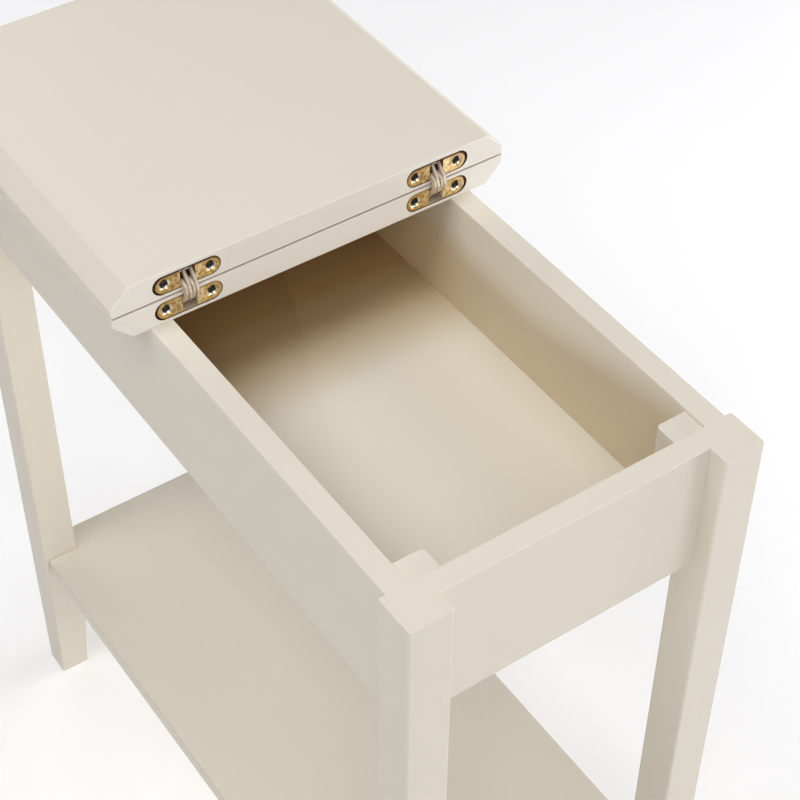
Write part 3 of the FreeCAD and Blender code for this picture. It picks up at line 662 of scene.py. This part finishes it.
class TABLE_OT_legs(bpy.types.Operator):
    """Four square legs with eased edges and feet narrowed on the inner faces"""

    bl_idname = "table.legs"
    bl_label = "Legs"

    knee_places = (0.97, 1.03)  # rings either side of the taper's top
    least_ease = 0.02 * MM

    def leg_surface(self, low, high, sx, sy):
        """A rounded square carried up the leg: the unit square's corners times
        the half size less the radius, plus the arcs' normals times the
        radius.  Its outer corner stays put, and below the taper height its
        size shrinks in proportion to the height still to go."""
        scene = bpy.context.scene
        paint, foot = scene.table_paint, scene.table_foot
        outline = corner, normals, _ = rounded_outline(SQUARE, 0.0, paint.arc_steps)
        inner = corner[:, 0] * sx + corner[:, 1] * sy < -1.5
        ease = np.where(inner, paint.inner_ease, paint.leg_ease)
        ends = eased_stations(low.z, high.z, paint.board_ease, paint.top_ease, paint.arc_steps)
        knee = plain_stations([foot.taper * k for k in self.knee_places])
        stations = np.insert(ends, [len(ends) // 2] * len(knee), knee, axis=0)
        w, inset = stations.T[:2]
        grow = np.clip(w / foot.taper, 0.0, 1.0)
        half = (foot.size + (high.x - low.x - foot.size) * grow) / 2
        outer = np.array([high.x if sx > 0 else low.x, high.y if sy > 0 else low.y])
        middle = outer - np.array([sx, sy]) * half[:, None]
        arc = np.maximum(ease - inset[:, None], self.least_ease)[..., None]
        rings = middle[:, None] + corner * ((half - inset)[:, None, None] - arc) + normals * arc
        return skin("z", rings, outline, stations)

    def execute(self, context):
        for end, side, sx, sy in CORNERS:
            node = "leg_%s_%s" % (end, side)
            low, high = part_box(node)
            painted(node, self.leg_surface(low, high, sx, sy), "paint_z")
        return {"FINISHED"}


class TABLE_OT_aprons(bpy.types.Operator):
    """Four aprons with eased edges, grooved inside for the floor panel"""

    bl_idname = "table.aprons"
    bl_label = "Aprons"

    groove_depth = 5.0 * MM
    groove_gap = 0.1 * MM
    groove_ease = 0.2 * MM
    end_ease = 0.02 * MM
    filled_joint = 0.9  # paint fills the joint, by this share of the leg tops' radius

    def section(self, inner, outer, low, high):
        """Cross-section as (height, reach) corners, with the floor's groove
        cut into the inner face."""
        panel_low, panel_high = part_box("compartment_floor")
        bottom = panel_low.z - self.groove_gap
        top = panel_high.z + self.groove_gap
        deep = inner + math.copysign(self.groove_depth, outer - inner)
        corners = [(low, inner), (low, outer), (high, outer), (high, inner),
                   (top, inner), (top, deep), (bottom, deep), (bottom, inner)]
        ease = bpy.context.scene.table_paint.board_ease
        return corners, [ease] * 4 + [self.groove_ease] * 4

    def execute(self, context):
        paint = context.scene.table_paint
        filled = paint.top_ease * self.filled_joint
        for node, axis, sign in (("side_apron_left", "y", -1), ("side_apron_right", "y", 1),
                                 ("front_apron", "x", -1), ("rear_apron", "x", 1)):
            low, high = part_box(node)
            along, across = (1, 0) if axis == "y" else (0, 1)
            inner, outer = (low, high) if sign > 0 else (high, low)
            corners, radii = self.section(inner[across], outer[across], low.z, high.z)
            if axis == "x":
                corners = [(y, z) for z, y in corners]
            outline = rounded_outline(corners, radii, paint.arc_steps)
            run = eased_stations(low[along] - filled, high[along] + filled,
                                 self.end_ease, self.end_ease, 2)
            painted(node, swept_board(axis, outline, run), "paint_" + axis)
        return {"FINISHED"}


class TABLE_OT_blocks(bpy.types.Operator):
    """Corner blocks in the compartment, the free edge well rounded"""

    bl_idname = "table.blocks"
    bl_label = "Corner blocks"

    free_radius = 3.0 * MM
    foot_ease = 0.1 * MM
    side_share, top_share = 0.5, 0.45  # of the boards' ease

    def execute(self, context):
        paint = context.scene.table_paint
        for end, side, sx, sy in CORNERS:
            node = "corner_block_%s_%s" % (end, side)
            low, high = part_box(node)
            corners = [(low.x, low.y), (high.x, low.y), (high.x, high.y), (low.x, high.y)]
            free = (high.x if sx < 0 else low.x, high.y if sy < 0 else low.y)
            radii = [self.free_radius if c == free else paint.board_ease * self.side_share
                     for c in corners]
            outline = rounded_outline(corners, radii, paint.arc_steps + 3)
            run = eased_stations(low.z, high.z, self.foot_ease,
                                 paint.board_ease * self.top_share, paint.arc_steps)
            painted(node, swept_board("z", outline, run), "paint_z")
        return {"FINISHED"}


def notched_board(node, side_gap, end_gap, ease, steps):
    """A level board whose four corners are notched round the legs, with a gap
    beside them and one before and behind them, and every edge rounded by the
    same radius."""
    low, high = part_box(node)
    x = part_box("leg_front_right")[0].x - side_gap
    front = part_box("leg_front_right")[1].y + end_gap
    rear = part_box("leg_rear_right")[0].y - end_gap
    corners = [(-x, low.y), (x, low.y), (x, front), (high.x, front),
               (high.x, rear), (x, rear), (x, high.y), (-x, high.y),
               (-x, rear), (low.x, rear), (low.x, front), (-x, front)]
    run = eased_stations(low.z, high.z, ease, ease, steps)
    return swept_board("z", rounded_outline(corners, ease, steps), run)


class TABLE_OT_shelf(bpy.types.Operator):
    """Low shelf notched round the four legs"""

    bl_idname = "table.shelf"
    bl_label = "Shelf"

    notch_gap = 0.2 * MM

    def execute(self, context):
        paint = context.scene.table_paint
        board = notched_board("shelf", self.notch_gap, 0.0, paint.board_ease, paint.arc_steps)
        painted("shelf", board, "paint_y")
        return {"FINISHED"}


class TABLE_OT_floor_panel(bpy.types.Operator):
    """Thin floor of the compartment, let into the aprons' grooves"""

    bl_idname = "table.floor_panel"
    bl_label = "Compartment floor"

    panel_gap = 0.1 * MM
    panel_ease = 0.3 * MM

    def execute(self, context):
        board = notched_board("compartment_floor", self.panel_gap, self.panel_gap,
                              self.panel_ease, 3)
        make_piece("painted_floor_panel", board, finish("panel"), "compartment_floor")
        return {"FINISHED"}


class TABLE_OT_top(bpy.types.Operator):
    """Both halves of the top: square at the seam, bevelled on three sides,
    with a mortise for each hinge leaf"""

    bl_idname = "table.top"
    bl_label = "Top halves"

    corner_radius = 1.2 * MM
    seam_ease = 0.5 * MM
    under_ease = 1.4  # the underside's arris against the show face's
    rest_gap = 0.05 * MM  # the closed lid stops just short of the frame
    behind = 40 * MM  # how far inside the board the profile's ends lie
    mortise_spare = 1.3 * MM
    mortise_lead = 1.0 * MM  # the cutter starts this far before the butt edge

    def profile(self, thick, top, ease, steps):
        """Edge profile from the show face to the underside: an eased arris,
        the upright edge, a rounded knee and the bevel.  Columns are the
        distance from the show face and the inset.  Only its three arcs are
        kept, and of those only the points that go down."""
        foot = top.edge + top.bevel
        corners = [(0.0, self.behind), (0.0, 0.0), (top.edge, 0.0), (foot, top.bevel),
                   (foot, self.behind)]
        radii = [0.0, ease, top.knee, ease * self.under_ease, 0.0]
        points, _, inside = rounded_outline(corners, radii, steps)
        arcs = slice(steps + 1, 4 * (steps + 1))
        points, inside = points[arcs], inside[arcs]
        points[:, 0] = np.minimum(points[:, 0], thick)
        rising = np.diff(points[:, 0], prepend=-1.0) > 1e-9
        return points[rising], inside[rising]

    def board_surface(self, low, high, z_face, z_under):
        """Rings of one rounded rectangle: the profile draws it in on the two
        sides and the far end, and only the arrises are drawn in at the seam."""
        scene = bpy.context.scene
        paint, thick = scene.table_paint, abs(z_under - z_face)
        points, inside = self.profile(thick, scene.table_top, paint.board_ease, paint.arc_steps)
        drop, inset = points.T
        ease, r = self.seam_ease, self.corner_radius
        near = np.minimum(drop, thick - drop)
        seam_inset = ease - np.sqrt(np.clip(ease ** 2 - (ease - near).clip(0) ** 2, 0, None))
        outline = corner, around, _ = rounded_outline(SQUARE, 0.0, 4)
        side, far, seam = high.x - inset, high.y - inset, low.y + seam_inset
        half = np.stack([side, (far - seam) / 2], axis=1)[:, None]
        middle = np.stack([side * 0, (far + seam) / 2], axis=1)[:, None]
        rings = middle + corner * (half - r) + around * r
        z = z_face + math.copysign(1.0, z_under - z_face) * drop
        stations = np.stack([z, inset, 0 * z, inside], axis=1)
        way = slice(None, None, 1 if z_under > z_face else -1)
        return skin("z", rings[way], outline, stations[way])

    def cut_mortises(self, board, which, gap):
        """Mortises a little wider than the leaves, and longer at the end
        that is nearer the side of the table."""
        surfaces = []
        spare = Vector((self.mortise_spare, 0.0, 0.0))
        for side in SIDES:
            low, high = leaf_of(which, side)[0]
            longer = (low - spare, high) if side == "left" else (low, high + spare)
            surfaces += leaf_blank(longer, gap, self.mortise_lead)
        # The mortise walls take beech darkened as painted shade of the gap.
        carve(board, surfaces, finish("mortise_shade_beech"))
        modify(board, "WEIGHTED_NORMAL", keep_sharp=True, weight=100)

    def execute(self, context):
        gap = context.scene.table_top.mortise_gap
        for node, which in (("fixed_top", "fixed"), ("lid", "lid")):
            low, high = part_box(node)
            face, under = (high.z, low.z) if which == "fixed" else (low.z, high.z - self.rest_gap)
            board = make_piece("painted_" + node, self.board_surface(low, high, face, under),
                               finish("paint_y"), node, smooth_normals=False)
            self.cut_mortises(board, which, gap)
        return {"FINISHED"}


# ---- hinge pieces


def leaf_of(which, side):
    """A leaf's box, and X and Z of its middle."""
    low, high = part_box("hinge_leaf_%s_%s" % (which, side))
    return (low, high), (low.x + high.x) / 2, (low.z + high.z) / 2


def leaf_blank(leaf, grow=0.0, lead=0.0, rim=0.0):
    """A hinge leaf as two closed surfaces that overlap: the round-ended plate,
    whose rim is a quarter circle, and the hinge's square body, which starts
    half way through the plate.  The plate's ends are a hair under full round
    and the body a hair lower than the plate, so that no two points meet."""
    round_share, body_share = 0.9995, 0.985
    low, high = leaf
    x, z = (low.x + high.x) / 2, (low.z + high.z) / 2
    half_x, half_z = (high.x - low.x) / 2 + grow, (high.z - low.z) / 2 + grow
    a = np.linspace(0.0, QUARTER, 6) if rim else np.array([QUARTER])
    y = np.append(low.y - lead + rim * (1 - np.cos(a)), low.y + LEAF_PLATE + grow)
    plate = plain_stations(y, np.append(rim * (1 - np.sin(a)), 0.0))
    body = np.array([[low.y + LEAF_PLATE / 2, 0, -1, 0], [high.y + grow, 0, 1, 0]])
    surfaces = []
    for wide, tall, radius, steps, run in (
            (half_x, half_z, half_z * round_share, 14, plate),
            (LEAF_BODY / 2 + grow, half_z * body_share, 0.0, 1, body)):
        corners = [(z + v * tall, x + u * wide) for u, v in SQUARE]
        surfaces.append(swept_board("y", rounded_outline(corners, radius, steps), run))
    return surfaces


def carve(piece, surfaces, material, operation="DIFFERENCE"):
    """Cuts closed surfaces out of a piece, or adds them, one after the other.
    The walls of each cut take the given material."""
    cutters = []
    for i, surface in enumerate(surfaces):
        cutter = make_piece("cutter_%d" % i, surface, material, smooth_normals=False)
        cutters.append(cutter)
        modify(piece, "BOOLEAN", operation=operation, solver="EXACT",
               material_mode="TRANSFER", object=cutter)
    graph = bpy.context.evaluated_depsgraph_get()
    mesh = bpy.data.meshes.new_from_object(piece.evaluated_get(graph))
    piece.modifiers.clear()
    piece.data = mesh
    mesh.shade_smooth()
    mesh.set_sharp_from_angle(angle=math.radians(32))
    for cutter in cutters:
        bpy.data.objects.remove(cutter)


class TABLE_OT_hinge_leaves(bpy.types.Operator):
    """Round-ended brass leaves let flush into the butt edges, with
    countersunk holes and the cavity that the links fold into"""

    bl_idname = "table.hinge_leaves"
    bl_label = "Hinge leaves"

    rim = 0.45 * MM
    hole_room = 0.5 * MM  # the holes are wider than the screws' heads
    # The cavity in millimetres as (depth, rise), rise towards the fold: the
    # open mouth and the wider room where the sliding pins run, each with half
    # its width.
    cavity_mm = (
        (5.1, ((-1.0, 7.5), (-1.0, -5.75), (15.4, -5.75), (16.9, -4.5), (16.9, 2.6),
               (7.0, 5.9), (3.4, 7.5))),
        (6.2, ((3.0, 4.9), (3.0, -5.4), (15.4, -5.4), (16.4, -4.6), (16.4, 2.0), (7.0, 4.9))),
    )
    cavity_ease = 0.3 * MM
    # Countersink in millimetres as (depth, inset): a short rounded lip, a
    # cone and the screw's bore.
    countersink_mm = ((-1.0, 0.0), (0.0, 0.0), (0.06, 0.12), (0.25, 0.28), (0.8, 0.62),
                      (2.45, 2.35), (4.0, 2.35))

    def cavity(self, x, y, z, sign):
        """Cavity outlines carried across the leaf, one for each width."""
        surfaces = []
        for half_mm, corners in self.cavity_mm:
            outline = [(y + d * MM, z + sign * r * MM) for d, r in corners]
            half = half_mm * MM
            ends = np.array([[x - half, 0, -1, 0], [x + half, 0, 1, 0]], float)
            outline = rounded_outline(outline, self.cavity_ease, 3)
            surfaces.append(swept_board("x", outline, ends))
        return surfaces

    def hole(self, x, y, z, steps=64):
        """A circle carried along the countersink's depths and insets."""
        turn = np.linspace(0.0, 2 * math.pi, steps, endpoint=False)
        normals = np.stack([np.cos(turn), np.sin(turn)], axis=1)
        circle = np.array((z, x)) + (SCREW_HEAD + self.hole_room) * normals
        depth, inset = np.array(self.countersink_mm).T * MM
        return swept_board("y", (circle, normals, np.zeros(steps)),
                           plain_stations(y + depth, inset))

    def execute(self, context):
        half_pitch = context.scene.table_hinge.screw_pitch / 2
        for which, side in ((which, side) for which in ("fixed", "lid") for side in SIDES):
            leaf, x, z = leaf_of(which, side)
            y, node = leaf[0].y, "hinge_leaf_%s_%s" % (which, side)
            plate, body = leaf_blank(leaf, rim=self.rim)
            piece = make_piece("brass_" + node, plate, finish("brass"), node,
                               smooth_normals=False)
            carve(piece, [body], finish("brass"), "UNION")
            holes = [self.hole(x + s * half_pitch, y, z) for s in (-1, 1)]
            carve(piece, holes, finish("brass"))
            sign = 1 if which == "fixed" else -1
            # The cavity walls take the core's lit copy on the fixed leaf and its shaded copy on
            # the lid: painted light and shade.
            carve(piece, self.cavity(x, y, z, sign), finish("hinge_core_" + which))
            dress_node("pivot_pin_%s_%s" % (which, side), finish("link_steel"))
        return {"FINISHED"}


class TABLE_OT_hinge_links(bpy.types.Operator):
    """Crossing steel link plates and the pins they carry"""

    bl_idname = "table.hinge_links"
    bl_label = "Hinge links"

    thickness = 2.2 * MM
    pitch = 2.45 * MM
    ease = 0.32 * MM
    corner_radius = 0.45 * MM
    # Kind of link, the leaf it turns on, which way its far end lies, and the
    # places of its two plates across the hinge, counted in pitches.
    kinds = (("a", "fixed", 1, (-0.5, 1.5)), ("b", "lid", -1, (-1.5, 0.5)))
    # Outline of a plate as (depth, rise) from its own leaf's centre, round the
    # pivot, out over the fold line and in to the far leaf's sliding pin.
    outline_mm = ((3.75, 4.0), (2.3, 5.8), (-1.3, 6.95), (-2.0, 9.65), (-1.3, 13.5), (4.9, 20.15),
                  (5.3, 22.2), (3.6, 23.05), (2.3, 21.7), (-3.3, 14.9), (-5.0, 9.65), (-4.1, 5.1),
                  (-2.6, 4.0), (1.5, 2.7), (3.1, 2.85))

    def execute(self, context):
        steps = context.scene.table_paint.arc_steps
        for side in SIDES:
            for kind, own, sign, layers in self.kinds:
                leaf, x, z = leaf_of(own, side)
                corners = [(leaf[0].y + d * MM, z + sign * r * MM) for d, r in self.outline_mm]
                outline = rounded_outline(corners, self.corner_radius, steps)
                run = eased_stations(x - self.thickness / 2, x + self.thickness / 2,
                                     self.ease, self.ease, 3)
                plates = join_surfaces([
                    swept_board("x", outline, run + (layer * self.pitch, 0.0, 0.0, 0.0))
                    for layer in layers])
                node = "hinge_links_%s_%s" % (kind, side)
                make_piece("steel_" + node, plates, finish("link_steel"), node)
                dress_node("link_pins_%s_%s" % (kind, side), finish("link_steel"))
        return {"FINISHED"}


class TABLE_OT_hinge_screws(bpy.types.Operator):
    """Two countersunk cross-head screws in each hinge leaf"""

    bl_idname = "table.hinge_screws"
    bl_label = "Hinge screws"

    # The rim, cone, rod and tip in millimetres as (radius, depth).
    back_mm = ((3.8, 0.62), (3.75, 0.72), (1.75, 2.75), (1.75, 10.75), (1.4, 11.8), (0.02, 16.0))
    face_rings, face_inset = 30, 0.12 * MM
    sunk, dished, dish_share = 0.55 * MM, 0.85 * MM, 0.36  # depth at the rim, and more inside
    cross_turn = 0.5  # in radians
    arm_half, arm_soft, arm_reach, arm_depth = 0.95 * MM, 0.3 * MM, 0.80, 0.9 * MM
    recess_reach, recess_depth, soft_share = 0.70, 1.6 * MM, 0.08
    cone_depth, hub_depth = 0.57 * MM, 3.6 * MM

    def screw_surface(self, place, steps=72):
        """A countersunk screw pointing along +Y, as a surface of revolution
        whose rings run from the middle of its recess out over the dished head
        and back down the cone and rod to the tip.  Inside the recess the face
        drops by a depth that falls off with the distance from the nearer arm
        of a cross, and never below the cone behind it.  Reaches and shares
        are parts of the head's radius."""
        turn = np.linspace(0.0, 2 * math.pi, steps, endpoint=False)
        head, soft = SCREW_HEAD, SCREW_HEAD * self.soft_share
        face = np.linspace(0.0, 1.0, self.face_rings)[1:] * (head - self.face_inset)
        far_in = np.clip((head - face) / (head * self.dish_share), 0.0, 1.0)
        rings = np.stack([face, self.sunk + self.dished * far_in], axis=1)
        line = np.concatenate([rings, np.array(self.back_mm) * MM])
        on_face = np.arange(len(line))[:, None] < len(face)
        r = np.broadcast_to(line[:, :1], (len(line), steps))
        angle = turn + self.cross_turn
        cross = np.minimum(np.abs(np.sin(angle)), np.abs(np.cos(angle))) * r
        arm = np.clip((self.arm_half - cross) / self.arm_soft, 0.0, 1.0)
        arm = arm * np.clip((head * self.arm_reach - r) / soft, 0.0, 1.0)
        centre = np.clip((head * self.recess_reach - r) / soft, 0.0, 1.0)
        depth = np.maximum(arm, centre)
        depth = np.where(on_face, depth * depth * (3 - 2 * depth), 0.0)
        inner = np.clip(1.2 - r / (head * 0.9), 0.4, 1.0)  # the arms rise outwards
        y = line[:, 1:] + depth * self.recess_depth + arm * depth * self.arm_depth * inner
        y = np.where(on_face, np.minimum(y, self.cone_depth + head - r), y)
        verts = np.stack([r * np.cos(turn), y, r * np.sin(turn)], axis=-1).reshape(-1, 3)
        verts = np.concatenate([verts, [[0.0, self.hub_depth, 0.0]]]) + np.asarray(place)
        # The recess is marked for the screw finish's dark colour: grime and painted shade.
        hollow = np.append(np.minimum(depth.reshape(-1) * 5, 1.0), 1.0)
        faces = ring_faces(len(line), steps, caps=False)
        hub, last = len(verts) - 1, (len(line) - 1) * steps
        faces += [[hub, k, (k + 1) % steps] for k in range(steps)]
        faces.append([last + k for k in range(steps)][::-1])
        return verts, np.zeros_like(verts), hollow, [face[::-1] for face in faces]

    def execute(self, context):
        half_pitch = context.scene.table_hinge.screw_pitch / 2
        for which in ("fixed", "lid"):
            leaves = [leaf_of(which, side) for side in SIDES]
            surfaces = [self.screw_surface((x + s * half_pitch, leaf[0].y, z))
                        for leaf, x, z in leaves for s in (-1, 1)]
            piece = make_piece(which + "_hinge_screws", join_surfaces(surfaces),
                               finish("screw_steel"), which + "_leaf_screws",
                               smooth_normals=False)
            piece.data.set_sharp_from_angle(angle=math.radians(50))
        return {"FINISHED"}


class TABLE_OT_hidden_fixings(bpy.types.Operator):
    """Dowels, steel angles and the screws that hold the frame together"""

    bl_idname = "table.hidden_fixings"
    bl_label = "Dowels, angles and screws"

    angle_ease = 0.3 * MM

    def execute(self, context):
        for node in ("apron_dowels", "shelf_dowels"):
            dress_node(node, finish("beech"))
        for end, side, _, _ in CORNERS:
            dress_node("top_bracket_%s_%s" % (side, end), finish("zinc"), self.angle_ease)
        for node in ("block_screws", "bracket_screws"):
            dress_node(node, finish("zinc"))
        return {"FINISHED"}


# ---- stage


class TABLE_OT_stage(bpy.types.Operator):
    """Pale floor, soft studio light and the camera"""

    bl_idname = "table.stage"
    bl_label = "Floor, light and camera"

    floor_size = 6.0
    floor_tones = (0.89, 0.89, 0.89), (0.91, 0.91, 0.91)
    # Softboxes: turn from the front towards +X and height above the horizon in
    # degrees, distance and size in metres, watts.
    softboxes = (
        ("overhead", 180, 88, 1.8, (1.1, 1.1), 11.0),
        ("upper_left", -90, 58, 2.2, (1.2, 1.0), 18.9),
        ("upper_front_left", -35, 45, 2.4, (0.9, 0.9), 10.0),
        ("upper_right", 90, 40, 2.4, (1.2, 0.8), 6.0),
        ("low_front", 0, 15, 2.4, (0.9, 0.7), 6.7),
        ("low_front_right", 40, 8, 2.4, (0.9, 0.7), 9.2),
        ("low_right", 85, 6, 2.4, (1.6, 0.7), 30.0),
        ("low_back", 180, 14, 2.4, (1.6, 0.8), 13.0),
    )
    softbox_colour = (0.985, 0.98, 1.0)
    aim = Vector((0.0, -0.1, 0.5))
    # The sky's brightness by how far up a direction points, 0 to 1.
    sky_stops = ((0.15, 0.6), (0.25, 0.02), (0.67, 0.02), (0.77, 0.05))
    sky_tint = (1.0, 0.98, 0.995)

    def floor(self, stage):
        """A square of side floor_size centred under the table."""
        mesh = bpy.data.meshes.new("studio_floor")
        half = self.floor_size / 2
        mesh.from_pydata([(x * half, y * half, 0) for x, y in SQUARE], [], [(0, 1, 2, 3)])
        look = Finish(bpy.data.materials.new("studio_floor"))
        drift = look.noise(1.5)
        look.put(base_color=look.blend(drift, *self.floor_tones), roughness=0.85,
                 emission_color=(1.0, 1.0, 1.0), emission_strength=stage.floor_glow)
        mesh.materials.append(look.data)
        floor = add_object("studio_floor", mesh)

    def softbox(self, name, turn, height, distance, size, power):
        turn, height = math.radians(turn), math.radians(height)
        way = Vector((math.sin(turn) * math.cos(height), -math.cos(turn) * math.cos(height),
                      math.sin(height)))
        data = bpy.data.lights.new(name, "AREA")
        data.shape = "RECTANGLE"
        data.size, data.size_y = size
        data.energy = power
        data.color = self.softbox_colour
        lamp = add_object(name, data)
        lamp.location = self.aim + way * distance
        lamp.rotation_euler = way.to_track_quat("Z", "Y").to_euler()

    def surroundings(self, stage):
        """A plain sky, bright near the horizon and overhead and dim between,
        by the height of the direction looked in."""
        sky = Finish(bpy.data.worlds.new("studio"))
        direction = sky.add("ShaderNodeTexCoord", {}, {}, "Generated")
        height = sky.add("ShaderNodeSeparateXYZ", {}, {"Vector": direction}, "Z")
        stops = [(place, shade(self.sky_tint, level)) for place, level in self.sky_stops]
        colour = sky.add("ShaderNodeValToRGB", {"stops": stops}, {"Fac": height}, "Color")
        sky.put(color=colour, strength=stage.sky)
        bpy.context.scene.world = sky.data

    def camera(self, stage):
        """Looks along +Y, rolled about its line of sight, then tilted by the
        pitch and turned by the yaw."""
        data = bpy.data.cameras.new("camera")
        data.sensor_width = 36.0
        data.lens = stage.lens
        data.clip_start = 0.05
        camera = add_object("camera", data)
        camera.matrix_world = (
            Matrix.Translation(stage.camera_place) @ Matrix.Rotation(-stage.yaw, 4, "Z")
            @ Matrix.Rotation(QUARTER + stage.pitch, 4, "X") @ Matrix.Rotation(stage.roll, 4, "Z"))
        bpy.context.scene.camera = camera

    def execute(self, context):
        stage = context.scene.table_stage
        context.scene.view_settings.view_transform = "Standard"
        self.floor(stage)
        self.surroundings(stage)
        for *place, power in self.softboxes:
            self.softbox(*place, power * stage.brightness)
        self.camera(stage)
        return {"FINISHED"}


# ---- panel


STEPS = (TABLE_OT_legs, TABLE_OT_aprons, TABLE_OT_blocks, TABLE_OT_shelf, TABLE_OT_floor_panel,
         TABLE_OT_top, TABLE_OT_hinge_leaves, TABLE_OT_hinge_links, TABLE_OT_hinge_screws,
         TABLE_OT_hidden_fixings, TABLE_OT_stage)

SETTINGS = {"table_paint": PaintSettings, "table_foot": FootSettings, "table_top": TopSettings,
            "table_hinge": HingeSettings, "table_stage": StageSettings}


class TABLE_PT_sidebar(bpy.types.Panel):
    """Lists the table's settings and the operators that build it"""

    bl_idname = "TABLE_PT_sidebar"
    bl_label = "Flip Top Table"
    bl_space_type = "VIEW_3D"
    bl_region_type = "UI"
    bl_category = "Table"

    def draw(self, context):
        for name, group in SETTINGS.items():
            box = self.layout.box()
            settings = getattr(context.scene, name)
            for key in group.__annotations__:
                box.prop(settings, key)
        column = self.layout.column(align=True)
        for step in STEPS:
            column.operator(step.bl_idname)


CLASSES = (*SETTINGS.values(), *STEPS, TABLE_PT_sidebar)


def register():
    for part in CLASSES:
        bpy.utils.register_class(part)
    for name, group in SETTINGS.items():
        setattr(bpy.types.Scene, name, PointerProperty(type=group))


def unregister():
    for name in SETTINGS:
        delattr(bpy.types.Scene, name)
    for part in reversed(CLASSES):
        bpy.utils.unregister_class(part)


def main():
    register()
    for step in STEPS:
        getattr(bpy.ops.table, step.bl_idname.partition(".")[2])()


if __name__ == "__main__":
    main()
